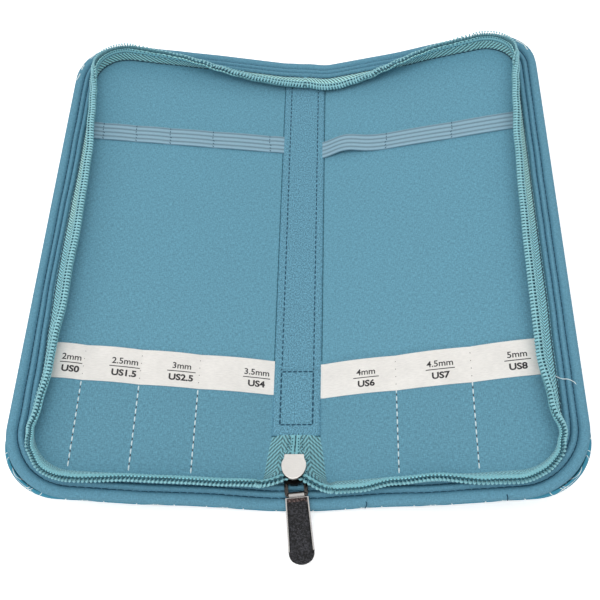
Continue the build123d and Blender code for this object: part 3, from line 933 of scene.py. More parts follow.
class NEEDLECASE_OT_bindings(bpy.types.Operator):
    """Makes the binding folded over the edges, with its stitches, loose threads and print"""

    bl_idname = "needlecase.bindings"
    bl_label = "Bindings"

    def execute(self, context):
        for case in halves(context):
            sizes = case.sizes
            flat = (PROFILE_LENGTHS[-1][1], case.rim_length)
            case.cloth(
                "binding_band", (2 * PROFILE_LAST, 620), binding_shape, "binding_cloth",
                "binding_cloth", sheet=(flat, "folded", "padded_cover"),
                nodes=("binding",), middle=("spine_binding_front", "spine_binding_back"),
            )
            stitches = bmesh.new()
            for row, height in STITCH_ROWS:
                places = row_places(
                    lambda along: stitch_line(case, row, height, along),
                    0, case.rim_length, sizes.stitch_pitch, 0.4 * MM, 0.4 * MM,
                )
                stitch_row(stitches, places, sizes.thread / 2, sizes.stitch_length)
            case.sewn("binding_stitches", stitches, "dark_thread", "binding_cloth")
        self.loose_ends(case)  # on the right half, the last one made
        for case in halves(context):
            self.printed_lines(case)
        return {"FINISHED"}

    def loose_ends(self, case):
        """Two cut ends of the sewing thread at the front edge, and a stray light one."""
        for name, finish, radius, runs in LOOSE_ENDS:
            ends = bmesh.new()
            for run in runs:
                points = []
                for step in range(4 * (len(run) - 1) + 1):
                    along, inset = smooth_line(run, step / 4) * MM
                    h = binding_height(case, along, max(inset, 0), 0.4 * MM)
                    h += (0.35 if inset > 0 else 0.1) * MM
                    points.append(case.rim_point(along, inset, h))
                lay_thread(ends, points, radius * MM)
            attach(add_piece(name, ends, finish, "binding_cloth"), "right_cover")

    def printed_lines(self, case):
        """Lines of the cover's print that come up over the far corners."""
        lines = bmesh.new()
        for (first, near), (last, far) in PRINTED_LINES[case.side]:
            points = []
            for share in (step / 6 for step in range(7)):
                along = (first + (last - first) * share) * MM
                inset = near + (far - near) * share + 0.25 * sin(pi * share)
                h = binding_height(case, along, inset * MM, 0)
                h += (straight(OUTER_ROLL, inset) + 0.08) * MM
                points.append(case.rim_point(along, inset * MM, h))
            lay_thread(lines, points, 0.28 * MM)
        case.sewn("printed_lines", lines, "printed_line", "printed_cloth")


# ---------------------------------------------------------------- zip
TAPE_LEAN = {  # distance along the rim, mm, and the lean of the tape inwards, degrees
    -1: (
        (11, -10), (18, -19), (32, -24), (60, -22), (84, -37), (97, -36), (108, -20), (119, -2),
        (132, 14), (147, 26), (161, 27), (178, 36), (194, 34), (213, 38), (233, 35), (254, 31),
        (276, 17), (290, 8), (300, -4), (308, -12), (317, -15), (327, -15), (336, -13), (347, -6),
        (356, 0), (366, 10), (376, 25), (385, 43), (394, 56), (404, 66), (416, 72), (429, 76),
    ),
    1: (
        (11, -26), (18, -42), (26, -42), (40, -25), (54, -17), (74, -40), (84, -44), (96, -37),
        (105, -30), (114, -12), (132, 21), (152, 41), (175, 40), (198, 39), (223, 35), (254, 26),
        (276, 14), (290, 6), (300, -5), (308, -14), (318, -20), (326, -20), (332, -18), (340, -14),
        (349, -8), (357, -2), (363, 2), (371, 14), (380, 30), (388, 48), (396, 66), (404, 78),
        (411, 85), (421, 82), (429, 76),
    ),
}
COIL_TURN = (  # distance along the rim, mm, and the coil's turn over the tape's edge, degrees
    (0, 0), (108, 0), (122, 12), (220, 8), (246, 18), (268, 32), (292, 36), (304, 14), (312, 0),
    (429, 0),
)
FLARE_START = 16 * MM  # along the rim, where the zip turns in to the slider
FLARE_STEP = 3.6 * MM  # between the next keys
FLARE_KEYS = (  # the tape's root and its free edge, x outwards, mm
    ((13.6, -104.3, 4.6), (13.0, -107.4, 11.2)),
    ((12.5, -103.9, 4.3), (9.8, -106.4, 11.0)),
    ((12.2, -102.6, 4.2), (6.2, -104.6, 10.7)),
    ((12.0, -100.4, 4.1), (2.4, -102.3, 10.35)),
    ((11.6, -97.2, 4.1), (0.4, -99.0, 9.8)),
    ((11.0, -93.4, 4.1), (0.15, -95.3, 9.0)),
    ((10.2, -89.4, 4.1), (0.15, -91.2, 7.3)),
    ((9.5, -85.9, 4.0), (0.15, -87.3, 5.2)),
    ((9.0, -80.5, 3.9), (0.15, -81.5, 4.0)),
)
FLARE_TURN = {-1: (1.5, 1.0, 0.4), 1: (-0.7, -0.5, -0.2)}  # how far the first edges stray, mm
NO_STRAY = (0,) * (len(FLARE_KEYS) - 3)
TAPE_ROOT = 10.35  # mm inside the edge, where the tape leans from
COIL_START = 2.4 * MM  # along the rim
COIL_HEAD = ((88, 1.5), (122, 0.85))  # along the rim, mm, and how much fatter a turn's head is
HOLDING_ROWS = (  # across and out from the coil, mm, thread radius and length, mm, and its start
    (-0.3, 0.35, 0.27, 1.3, 110 * MM),
    (-1.85, 0.2, 0.27, 1.3, 110 * MM),
    (-0.8, -0.62, 0.2, 1.0, FLARE_START),
    (-2.05, -0.32, 0.22, 1.0, FLARE_START),
)
CORNER_BEADS = (298 * MM, 1.85 * MM, 46)  # start along the rim, pitch and number of large beads
CORNER_BEADS_OUT = ((338, 2.15), (364, 1.6))  # along the rim, and how far they stand out, mm
FRONT_BEADS = 108 * MM  # length of the bead row along the front
# Painted shadow: dark lines of touching stitches along the tape's root, beside the binding and, at
# the far corners, beside the lining.
ROOT_SHADOW_ROWS = (  # start and end along the rim, height up the tape and distance out from it, mm
    (112, 303, 1.0, 0.4), (386, 428, 1.0, 0.4), (296, 380, 0.3, -0.35),
)
SEAM_ROWS = (  # start, number of stitches, pitch, height above the free edge, depth and radius, mm
    (None, 20, 1.3, -0.85, 0.76, 0.24),
    (None, 20, 1.3, -2.0, 0.4, 0.24),
    (298, 71, 1.85, -0.1, 0.5, 0.36),
    (299, 71, 1.85, -1.75, 0.45, 0.36),
)


class Zip(Half):
    """One side with its zip tape, which stands inside the binding and turns in to the slider."""

    def __init__(self, sizes, side, name):
        super().__init__(sizes, side, name)
        self.tall = sizes.tape_height
        self.sections = {}
        self.start = FLARE_START - FLARE_STEP * len(FLARE_KEYS)
        self.total = self.rim_length - self.start

    def run(self, along, up):
        """The standing tape beyond the slider, by the distance along the rim and up the tape."""
        key = round(along / MM, 4)
        if key not in self.sections:
            lean = radians(between(TAPE_LEAN[self.side], along / MM))
            root = between(BINDING_REACH[self.side], along / MM) + 0.5
            self.sections[key] = (lean, root, self.rim(along))
        lean, root, (u, v, in_u, in_v) = self.sections[key]
        lean *= 0.45 + 0.55 * max(up / (self.tall + 1.4 * MM), 0)
        inset = (root + (TAPE_ROOT - root) * min(up / self.tall, 1)) * MM + up * sin(lean)
        h = self.lining + 0.1 * MM + up * cos(lean)
        return self.point(u + inset * in_u, v + inset * in_v, h)

    def at(self, along, up):
        """A point on the tape, by the distance along it from the front's middle, and up it."""
        if along >= FLARE_START:
            return self.run(along, up)
        share = up / self.tall
        keys = []
        for ahead in (2, 1, 0):
            place = FLARE_START + ahead * FLARE_STEP
            keys.append(self.run(place, 0).lerp(self.run(place, self.tall), share))
        for (root, top), stray in zip(FLARE_KEYS, FLARE_TURN[self.side] + NO_STRAY):
            spot = Vector(root).lerp(Vector(top) + Vector((0, stray, 0)), share) * MM
            keys.append(Vector((self.side * spot.x, spot.y, spot.z)))
        past = (FLARE_START - along) / FLARE_STEP
        bow = min(past, 2) / 2 * sin(pi * clamp(share)) * 0.5 * MM
        return smooth_line(keys, 2 + past) + UP * bow

    def frame(self, along, up, turned=False):
        """A point on the tape, with the ways along it, across it and out from the coil's side."""
        step = 0.3 * MM
        forward = (self.at(along + step, up) - self.at(along - step, up)).normalized()
        across = (self.at(along, up + step) - self.at(along, up - step)).normalized()
        out = (across.cross(forward) * -self.side).normalized()
        across = (forward.cross(out) * -self.side).normalized()
        if turned:
            turn = radians(between(COIL_TURN, along / MM))
            across, out = across * cos(turn) - out * sin(turn), out * cos(turn) + across * sin(turn)
        return self.at(along, up), forward, across, out

    def coil_edge(self, along):
        return self.frame(along, self.tall, True)

    def thread(self, mesh, first, pitch, count, above, aside, out, radius, length, sink=0.55,
               turned=False, on_edge=False):
        """Adds a row of stitches to the tape.

        It starts at `first` along the tape, `above` its free edge. Each stitch is moved across the
        tape by aside(distance) and out from it; on_edge stitches stand on the tape's edge.
        """
        places = []
        for at in (first + pitch * number for number in range(count)):
            point, forward, across, outward = self.frame(at, self.tall + above, turned)
            point += across * aside(at) * MM + outward * out * MM
            places.append((point, forward, across if on_edge else outward if out > 0 else -outward))
        stitch_row(mesh, places, radius * MM, length * MM, sink)


def tape_shape(tape, a, b):
    along, up = tape.start + b * tape.total, a * tape.tall
    ripple = 0.15 * MM * waver(0.007, along, up * 0.5, tape.side) * a
    past = along - FLARE_START  # the ribs are closer by the slider and wider at the far corner
    woven = along - 0.15 * min(past, 0) + 0.25 * clamp(past, 0, 259 * MM)
    woven -= 0.36 * clamp(along - 275 * MM, 0, 90 * MM)
    drawn = between(((276, 1), (300, 0.62)), along / MM)  # narrower bands at the far corner
    return tape.at(along, up) + Vector((ripple, ripple, 0)), (woven, up * drawn)


def fold_shape(tape, a, b):
    """The plain woven edge, folded over the tape's free edge."""
    along, wide = tape.start + b * tape.total, 1.75
    point, _, across, out = tape.frame(along, tape.tall)
    swell = 0.22 * (1 - (2 * a - 1) ** 2) + 0.32
    reach = between(((-2, 1.3), (10, wide)), along / MM)
    return point + (across * (a * reach - 1.5) - out * swell) * MM, (along, a * wide * MM)


def core_shape(tape, a, b):
    """The coil's core cord, seen between the coil's turns, coloured dark as painted shade."""
    along, wide = COIL_START + (tape.rim_length - COIL_START) * b, 2.6
    point, _, across, out = tape.coil_edge(along)
    return point + (across * (a * wide - 2.4) + out * 0.5) * MM, (along, a * wide * MM)


def coil_spiral(sizes, frame_at, start, end):
    """The spiral of one coil. frame_at(along) gives a point, and the ways along, across and out."""
    steps, round_wire = 12, 6
    turns = round((end - start) / sizes.coil_pitch)
    wire = sizes.coil_wire / 2
    wide, thick = sizes.coil_width / 2 - wire, sizes.coil_thickness / 2 - wire
    frame_at = cache(frame_at)

    def shape(a, b):
        b = round(b * turns * steps) / (turns * steps)
        along = start + b * (end - start)
        point, forward, across, outward = frame_at(along)
        turn, around = 2 * pi * b * turns, 2 * pi * a
        fat = between(COIL_HEAD, along / MM)
        head = max(cos(turn - 0.9), 0) ** (3 if fat < 1 else 2)
        centre = point + outward * (sizes.coil_thickness / 2 + 0.4 * MM + sin(turn) * thick)
        centre += across * (cos(turn) * wide - 0.6 * MM)
        out = across * cos(turn) + outward * sin(turn)
        around_wire = (out * cos(around) + forward * sin(around)) * wire * (1 + fat * head)
        return centre + around_wire, (b * turns, a)

    mesh = cloth_grid(round_wire, turns * steps, shape)
    bmesh.ops.remove_doubles(mesh, verts=mesh.verts[:], dist=0.00002)
    bmesh.ops.holes_fill(mesh, edges=mesh.edges[:], sides=8)
    face_outwards(mesh)
    return mesh


class NEEDLECASE_OT_zip(bpy.types.Operator):
    """Makes the zip's tape, coil and stitching on both sides, and the closed end at the slider"""

    bl_idname = "needlecase.zip"
    bl_label = "Zip"

    def execute(self, context):
        for tape in halves(context, Zip):
            flat = (tape.tall + 2.9 * MM, tape.total)
            tape.cloth(
                "tape_band", (10, 420), tape_shape, "zip_tape", "zip_tape", 0.5, 0,
                sheet=(flat, "stretched", "binding_band"),
                nodes=("zip_tape",), middle=("zip_tape_top", "zip_tape_anchor"),
            )
            tape.cloth("tape_fold", (5, 420), fold_shape, "tape_fold", "zip_tape", 0.25, 0)
            coil = coil_spiral(tape.sizes, tape.coil_edge, COIL_START, tape.rim_length)
            tape.sewn("coil", coil, "zip_coil", "zip_coil", ("zip_coil",), ("zip_coil_top",))
            # the core cord under the coil, coloured dark as painted shade between the turns
            tape.cloth("coil_core", (2, 400), core_shape, "coil_core", "zip_tape", 0.3, 0)
            self.threads(tape)
        self.closed_end(tape.sizes)
        return {"FINISHED"}

    def threads(self, tape):
        """The thread that holds the coil, its beads, the seams along the tape, and the painted
        shadow lines at the tape's root.
        """
        start, thickness = COIL_START, tape.sizes.coil_thickness / MM
        turns = round((tape.rim_length - start) / tape.sizes.coil_pitch)
        pitch = (tape.rim_length - start) / turns

        holding = bmesh.new()
        for aside, out, radius, length, front in HOLDING_ROWS:
            skipped = round((front - start) / pitch)
            above_coil = out > 0
            tape.thread(
                holding, start + pitch * (skipped + 0.75), pitch, turns - skipped, 0,
                lambda at: aside, out + thickness if above_coil else out, radius, length,
                turned=above_coil,
            )
        tape.thread(
            holding, *CORNER_BEADS, 0, lambda at: between(CORNER_BEADS_OUT, at / MM),
            0.9, 0.5, 0.85, 0.1, turned=True, on_edge=True,
        )
        tape.thread(
            holding, start + pitch / 2, pitch, round(FRONT_BEADS / pitch), 0, lambda at: -1.1,
            1.95, 0.52, 1.15, 0.1, turned=True,
        )
        tape.sewn("zip_thread", holding, "zip_thread", "zip_tape")

        # painted shadow: dark lines along the tape's root, laid as touching stitches
        root = bmesh.new()
        for low, high, up, out in ROOT_SHADOW_ROWS:
            count = round((high - low) / 2.4)
            step = (high - low) / count * MM
            tape.thread(
                root, low * MM + step / 2, step, count, up * MM - tape.tall, lambda at: 0,
                out, 0.27, 2.55, 0.3,
            )
        tape.sewn("root_thread", root, "root_thread", "zip_tape")

        seam = bmesh.new()
        for first, count, step, above, depth, radius in SEAM_ROWS:
            first = tape.start if first is None else first * MM
            tape.thread(
                seam, first + step / 2 * MM, step * MM, count, above * MM, lambda at: 0,
                -depth, radius, 0.62 * step,
            )
        tape.sewn("seam_thread", seam, "seam_thread", "zip_tape")

    def closed_end(self, sizes):
        """The short piece of closed chain that turns with the slider's tail."""
        place = slider_frame()
        turned = place.to_3x3()
        front, back, wide = 4.4 * MM, 8.2 * MM, 11.6 * MM

        def tape(a, b):
            x, y = (a - 0.5) * wide, front + (back - front) * b
            return place @ Vector((x, y, 0.62 * MM - 0.35 * MM * (2 * a - 1) ** 2)), (y, x)

        piece = add_piece("chain_tape_band", cloth_grid(16, 6, tape), "zip_tape", "zip_tape")
        thicken(piece, 0.45 * MM, 0)
        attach(piece, "chain_end")
        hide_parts("chain_tape")

        chain = bmesh.new()
        for side in (-1, 1):
            ways = [turned @ Vector(way) for way in ((0, 1, 0), (-side, 0, 0), (0, 0, -1))]

            def edge(along):
                spot = Vector((side * 0.15 * MM, along + side * 0.375 * MM, 0.4 * MM))
                return place @ spot, *ways

            join(chain, coil_spiral(sizes, edge, front + 0.5 * MM, back - 0.5 * MM))
        piece = add_piece("chain_teeth", chain, "zip_coil", "zip_coil")
        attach(piece, "chain_end")
        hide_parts("chain_coil")


# ---------------------------------------------------------------- spine strip
STRIP_SPREAD = ((0, 0), (0.75, 0.84), (1, 1))  # closer rows of the grid towards the edge
STRIP_TOP, TAB_TOP = 0.15 * MM, 0.95 * MM  # tops of the strip and of its end tab
SEAM_OUT = 6.5  # the strip's seams, mm out from its middle line
TAB_SEAMS = (-81, -57.5)  # the seams across the end tab, mm from the case's middle
TAB_OVER = 0.5 * MM  # the end tab beyond the strip's end
HEM = 1.2 * MM  # cloth turned under at the strip's edge


def strip_height(case, u, v, top):
    """The strip, flat, rounded down at its edges and pressed in by its stitches."""
    edge = clamp((case.sizes.strip_half - u) / (1.1 * MM))
    pressed = exp(-(((u / MM - SEAM_OUT) / 0.7) ** 2))
    uneven = 0.1 * waver(0.011, u, v, 12) + 0.05 * waver(0.004, u, v, 3)
    raised = (top - case.lining) * sqrt(edge * (2 - edge)) * 0.9
    return case.lining + raised + MM * (0.15 + uneven * edge - 0.16 * pressed)


def strip_shape(case, a, b):
    sizes = case.sizes
    u = sizes.strip_half * straight(STRIP_SPREAD, a)
    v = sizes.strip_start + (sizes.strip_end - sizes.strip_start) * b
    return case.point(u, v, strip_height(case, u, v, STRIP_TOP)), (case.side * u, v)


def tab_shape(case, a, b):
    sizes = case.sizes
    end = sizes.strip_start - TAB_OVER
    u = (sizes.strip_half + 0.1 * MM) * straight(STRIP_SPREAD, a)
    v = end + (sizes.tab_top - end) * straight(((0, 0), (0.12, 0.05), (0.88, 0.95), (1, 1)), b)
    rounding = clamp(min(v - end, sizes.tab_top - v) / (1.0 * MM))
    low = strip_height(case, u, v, STRIP_TOP) + 0.1 * MM
    high = strip_height(case, u, v, TAB_TOP)
    h = low + (high - low) * sqrt(rounding * (2 - rounding))
    return case.point(u, v, h), (case.side * u, v)


class NEEDLECASE_OT_strip(bpy.types.Operator):
    """Makes the strip over the spine and its end tab, with their stitches"""

    bl_idname = "needlecase.strip"
    bl_label = "Spine strip"

    def execute(self, context):
        for case in halves(context):
            sizes = case.sizes
            wide, end = sizes.strip_half + HEM, sizes.strip_start - TAB_OVER
            case.cloth(
                "strip_half", (20, 150), strip_shape, "brushed_strip", "suede_strip", 0.3,
                sheet=((wide, sizes.strip_end - sizes.strip_start), "laid", "lining_sheet"),
                middle=("spine_strip",),
            )
            case.cloth(
                "end_tab_half", (20, 48), tab_shape, "brushed_strip", "suede_strip", 0.3,
                sheet=((wide, sizes.tab_top - end + 2 * MM), "folded", "strip_half"),
                middle=("spine_end_tab",),
            )
            self.stitches(case, sizes, end)
        return {"FINISHED"}

    def stitches(self, case, sizes, end):
        """The seams along and across the strip, and the painted shadow line beside it and across
        the end tab's end.
        """
        above, beside = 0.12 * MM, sizes.strip_half + 0.15 * MM

        def seam(v):
            top = TAB_TOP if v < sizes.tab_top else STRIP_TOP
            return SEAM_OUT * MM, v, strip_height(case, SEAM_OUT * MM, v, top) + above

        def tab_seam(u):
            return u, v * MM, strip_height(case, u, v * MM, TAB_TOP) + above

        stitches = bmesh.new()
        case.row(stitches, seam, *TAB_SEAMS, 2.6, 0.33, 2.5)
        case.row(stitches, seam, TAB_SEAMS[1], sizes.strip_end / MM - 4, 2.6, 0.25, 2.2)
        for v in TAB_SEAMS:
            case.row(stitches, tab_seam, 0, SEAM_OUT, 2.2, 0.28, 2.1)
        case.sewn("strip_stitches", stitches, "dark_thread", "suede_strip")

        # painted shadow: a dark line of touching stitches beside the strip and across the end tab's
        # end
        line = bmesh.new()
        case.row(
            line, lambda v: (beside, v, case.lining + above),
            end / MM, sizes.strip_end / MM, 3, 0.2, 3.3, 0.1,
        )
        case.row(
            line, lambda u: (u, end - 0.1 * MM, case.lining + 0.85 * MM),
            0, beside / MM, 2, 0.26, 2.2, 0.1,
        )
        case.sewn("strip_seam", line, "seam_thread", "suede_strip")


# ---------------------------------------------------------------- elastics
ELASTIC_LINE = {-1: (62.7, 58.8), 1: (58.8, 57.8)}  # its middle at the fold and the far end, mm
ELASTIC_STITCHES = {-1: (84.5, 69.5, 53.8, 33.8, 6.9), 1: (30.2, 60.6)}  # mm out from the fold
ELASTIC_LENGTH = 92.2


def elastic_spot(case, out, across, above=0.0):
    """A place on the elastic, `out` mm from the fold and `across` metres from its middle line."""
    start, end = ELASTIC_LINE[case.side]
    middle = start + (end - start) * out / 90
    lift = 0.25 + above
    if case.side > 0:
        slack = exp(-(((out - 11) / 8.5) ** 2))
        middle += 1.5 * slack
        lift += 1.7 * slack
    held = sorted((0.0,) + ELASTIC_STITCHES[case.side] + (92.0,))
    for low, high in zip(held, held[1:]):
        if low <= out < high:
            lift += 0.35 * sin(pi * (out - low) / (high - low)) ** 0.7
    return case.spine + out * MM, middle * MM + across, case.lining + lift * MM


def elastic_shape(case, a, b):
    out, across = ELASTIC_LENGTH * a - 0.2, (b - 0.5) * case.sizes.elastic_width
    return case.point(*elastic_spot(case, out, across)), (out * MM, across)


class NEEDLECASE_OT_elastics(bpy.types.Operator):
    """Makes the ribbed elastic band across each cover and the stitches that hold it"""

    bl_idname = "needlecase.elastics"
    bl_label = "Elastics"

    def execute(self, context):
        for case in halves(context):
            case.cloth(
                "elastic_band", (120, 10), elastic_shape, "elastic", "elastic", 0.6, 0,
                sheet=((ELASTIC_LENGTH * MM, 10 * MM), "stretched", "lining_sheet"),
                nodes=("elastic",),
            )
            stitches = bmesh.new()
            reach = case.sizes.elastic_width / 2 / MM + 0.3
            for out in ELASTIC_STITCHES[case.side]:

                def zigzag(across):
                    way = 1 if floor(across / (0.8 * MM)) % 2 else -1
                    return elastic_spot(case, out + 0.25 * way, across, 0.42)

                case.row(stitches, zigzag, -reach, reach, 1.65, 0.16, 1.2)
            case.sewn("elastic_stitches", stitches, "dark_thread", "elastic", stiff=True)
        return {"FINISHED"}


# ---------------------------------------------------------------- labels
LABELS = (  # side, out from the fold, mm, size, number, and the line between them, mm
    (-1, 81.6, "2mm", "US0", 8.6),
    (-1, 60.6, "2.5mm", "US1.5", 12.0),
    (-1, 38.0, "3mm", "US2.5", 11.4),
    (-1, 7.6, "3.5mm", "US4", 11.2),
    (1, 19.2, "4mm", "US6", 10.4),
    (1, 48.9, "4.5mm", "US7", 11.4),
    (1, 78.6, "5mm", "US8", 10.0),
)
RIBBON_LINE = {-1: (-59.8, -59.8), 1: (-61.6, -60.4)}  # its middle at the fold and far end, mm
RIBBON_LENGTH = 90.0
PRINT_RISE = 0.05 * MM  # printed ink above the ribbon
SEAM_ENDS = (11.4, -67.2)  # in from the front edge, and from the case's middle, mm
SEAM_PITCH = 3.3


def ribbon_spot(case, out, across, above=0.0):
    """A place on the label ribbon, `out` mm from the fold and `across` metres from its middle."""
    start, end = RIBBON_LINE[case.side]
    u, v = case.spine + out * MM, (start + (end - start) * out / 90) * MM + across
    return u, v, pocket_height(case, u, v) + 0.32 * MM + above


def ribbon_shape(case, a, b):
    out, across = 0.3 + RIBBON_LENGTH * a, (b - 0.5) * case.sizes.label_width
    return case.point(*ribbon_spot(case, out, across)), (out * MM * case.side, across)


def lay_text(case, out, across, body, bold):
    """Printed letters lying on the ribbon, as a bmesh."""
    curve = bpy.data.curves.new("print", "FONT")
    curve.body = body
    curve.size = case.sizes.text_size
    curve.align_x = "CENTER"
    curve.resolution_u = 3
    curve.offset = 0.13 * MM if bold else 0.05 * MM
    holder = bpy.data.objects.new("print", curve)
    bpy.context.scene.collection.objects.link(holder)
    settled = holder.evaluated_get(bpy.context.evaluated_depsgraph_get())
    flat = bpy.data.meshes.new_from_object(settled)
    bpy.data.objects.remove(holder)
    letters = bmesh.new()
    letters.from_mesh(flat)
    bpy.data.meshes.remove(flat)
    widened = case.side * (1.12 if bold else 1.02)
    for vert in letters.verts:
        spot = ribbon_spot(case, out + vert.co.x * widened / MM, vert.co.y + across, PRINT_RISE)
        vert.co = case.point(*spot)
    letters.normal_update()
    if sum(face.normal.z * face.calc_area() for face in letters.faces) < 0:
        turn_faces(letters)
    return letters


class NEEDLECASE_OT_labels(bpy.types.Operator):
    """Makes the label ribbons, their printed sizes and the seams between the pockets"""

    bl_idname = "needlecase.labels"
    bl_label = "Labels and pocket seams"

    def execute(self, context):
        for case in halves(context):
            flat = (RIBBON_LENGTH * MM, case.sizes.label_width)
            case.cloth(
                "size_ribbon", (110, 14), ribbon_shape, "label_ribbon", "label_ribbon", 0.25,
                sheet=(flat, "stretched", "pocket_cloth"), nodes=("label_ribbon",),
            )
            self.print_sizes(case)
            self.sew_pockets(case)
        return {"FINISHED"}

    def print_sizes(self, case):
        """Each pocket's needle size over its number, with a line between them."""
        printed = bmesh.new()
        for side, out, size, number, long in LABELS:
            if side != case.side:
                continue
            join(printed, lay_text(case, out, 0.45 * MM, size, False))
            join(printed, lay_text(case, out, -4.7 * MM, number, True))

            def bar_shape(a, b):
                across = -0.75 * MM + (b - 0.5) * 0.36 * MM
                spot = ribbon_spot(case, out + (a - 0.5) * long, across, PRINT_RISE)
                return case.point(*spot), (a, b)

            bar = cloth_grid(6, 1, bar_shape)
            if side < 0:
                turn_faces(bar)
            join(printed, bar)
        case.sewn("size_print", printed, "ink", stiff=True)

    def sew_pockets(self, case):
        """The pockets' seams, with needle holes between the stitches and through the ribbon."""
        stitches, holes = bmesh.new(), bmesh.new()
        start = SEAM_ENDS[0] - case.half / MM
        middle = sum(RIBBON_LINE[case.side]) / 2
        for out in POCKET_SEAMS[case.side]:

            def seam(v):
                u = case.spine + out * MM
                return u, v, pocket_height(case, u, v) + 0.12 * MM

            places = case.places(seam, start, SEAM_ENDS[1], SEAM_PITCH)
            stitch_row(stitches, places, 0.26 * MM, 2.5 * MM)
            gaps = [((a[0] + b[0]) / 2, a[1], a[2]) for a, b in zip(places, places[1:])]
            stitch_row(holes, gaps, 0.22 * MM, 0.95 * MM)
            case.row(
                holes, lambda v: ribbon_spot(case, out, v - middle * MM, 0.03 * MM),
                middle - 6.6, middle + 6.6, SEAM_PITCH, 0.17, 0.5,
            )
        case.sewn("pocket_seams", stitches, "light_thread", "lining_cloth", stiff=True)
        case.sewn("needle_holes", holes, "needle_hole", "lining_cloth", stiff=True)


# ---------------------------------------------------------------- metal and leather
PLATE_OUTLINE = (  # half of the slider's plate, mm
    (3.75, 5.35), (3.9, 4.6), (3.95, 3.5), (4.35, 2.7), (4.75, 1.6), (4.8, 0.2), (4.55, -1.3),
    (3.95, -2.8), (2.95, -4.15), (1.6, -5.1), (0.5, -5.4),
)
RING_OUTLINE = ((4.4, 0.65), (4.45, -3.0), (4.4, -6.55))
CAST_METAL = {"slider_body": "dark_metal", "slider_bail": "dark_metal", "pull_rim": "pull_metal"}
RING_BAR = 1.42  # mm across one side of the ring
STRAP = (-1.85, -25.7)  # both ends of the leather strap, mm from the ring's far bar
STRAP_TIP = (  # place along the strap and half its width there, mm
    (-25.7, 0.0), (-25.62, 1.3), (-25.2, 2.5), (-24.5, 3.55), (-23.6, 4.25), (-22.4, 4.68),
    (-21.0, 4.8),
)


def turned(degrees, axis):
    return Matrix.Rotation(radians(degrees), 4, axis)


def slider_frame():
    """The slider's own frame: y towards its tail, z towards the inside of the case."""
    return Matrix.Translation((0, -100.5 * MM, 8.81 * MM)) @ turned(-11, "X")


def ring_place():
    """The ring's frame: its near bar in the bail, y towards the slider."""
    bar = slider_frame() @ Vector((0.4 * MM, -2.55 * MM, -3.1 * MM))
    return Matrix.Translation(bar) @ turned(6, "Z")


def tab_place():
    """The pull tab's frame: on the ring's far bar, y towards the slider."""
    return ring_place() @ Matrix.Translation((0, -5.9 * MM, 0)) @ turned(4, "X")


def raise_faces(mesh, way):
    """Extrudes a flat shape into a solid."""
    lifted = bmesh.ops.extrude_face_region(mesh, geom=mesh.faces[:])["geom"]
    verts = [part for part in lifted if isinstance(part, bmesh.types.BMVert)]
    bmesh.ops.translate(mesh, verts=verts, vec=way)


def cut_across(mesh, axis, cuts, fill=True):
    """Divides the edges that run along an axis."""
    edges = [e for e in mesh.edges if abs((e.verts[0].co - e.verts[1].co)[axis]) > 1]
    bmesh.ops.subdivide_edges(mesh, edges=edges, cuts=cuts, use_grid_fill=fill)


def rounded(mesh, geom, affect, offset, segments):
    bmesh.ops.bevel(
        mesh, geom=geom, affect=affect, offset=offset, segments=segments, profile=0.5,
        material=-1, clamp_overlap=affect == "EDGES",
    )


def cut_plate(outline, rounding, low, high, edge, window=0.0):
    """A plate from half an outline, mm, mirrored across x. `window` leaves a frame that wide."""
    mesh = bmesh.new()
    spots = list(outline) + [(-x, y) for x, y in reversed(outline)]
    mesh.faces.new([mesh.verts.new((x, y, low)) for x, y in spots])
    rounded(mesh, mesh.verts[:], "VERTICES", rounding, 4)
    if window:
        inset = bmesh.ops.inset_region(
            mesh, faces=mesh.faces[:], thickness=window, use_boundary=True, use_even_offset=True
        )
        inner = [face for face in mesh.faces if face not in inset["faces"]]
        bmesh.ops.delete(mesh, geom=inner, context="FACES")
    raise_faces(mesh, (0, 0, high - low))
    face_outwards(mesh)
    sharp = [e for e in mesh.edges if len(e.link_faces) == 2 and e.calc_face_angle(0) > radians(50)]
    rounded(mesh, sharp, "EDGES", edge, 3)
    # the UVs mark the flat faces and the rims; on the ring they mask its painted edge highlight
    layer = mesh.loops.layers.uv.new("cloth")  # 0 on the flat faces, 1 on the rims
    for face in mesh.faces:
        face.smooth = face.calc_area() < 2.5
        for loop in face.loops:
            loop[layer].uv = (1 - abs(face.normal.z), 0)
    return mesh


def leather_strap():
    """The strap of leather: a closed pillow with a round tip and a crease across it."""
    start, end = STRAP
    mesh = bmesh.new()
    bmesh.ops.create_cube(mesh, size=2)
    for axis, cuts in ((0, 15), (1, 75), (2, 3)):
        cut_across(mesh, axis, cuts)
    for vert in mesh.verts:
        a, b, c = vert.co
        share = (1 - b) / 2
        if share > 0.8:  # closer rows towards the round tip
            share = 0.8 + 0.2 * sin((share - 0.8) / 0.2 * pi / 2)
        y = start + (end - start) * share
        half = straight(STRAP_TIP, y) if y < -21 else 3.88 + 0.42 * (start - y) / 19.2
        half = max(half, 0.12)
        side = 1 - max(abs(a) - 0.86, 0) / 0.14 * 0.55
        crease = 0.34 * exp(-(((y + 21.75) / 0.4) ** 2)) - 0.2 * exp(-(((y + 21.1) / 0.3) ** 2))
        puff = 0.86 + 0.14 * sin(pi * (a + 1) / 2) - 0.1 * exp(-(((y + 25.7) / 0.9) ** 2))
        rough = 0.05 * waver(3.5, a * half, y, c * 5)
        vert.co = (a * half * (1 - 0.03 * c * c), y, c * (0.9 * puff * side - crease) + rough)
    return soften(mesh)


def leather_roll():
    """The leather's folded end, rolled over the frame's top bar."""
    mesh = bmesh.new()
    bmesh.ops.create_circle(mesh, cap_ends=True, segments=20, radius=1)
    for vert in mesh.verts:
        vert.co = (-3.9, -2.1 + 1.05 * vert.co.x, 0.1 + 1.0 * vert.co.y)
    raise_faces(mesh, (7.8, 0, 0))
    cut_across(mesh, 0, 24, fill=False)
    for vert in mesh.verts:
        vert.co.z += 0.06 * waver(1.3, vert.co.x, vert.co.y)
        vert.co.y += 0.08 * waver(2.1, vert.co.x, 5)
    return soften(mesh)


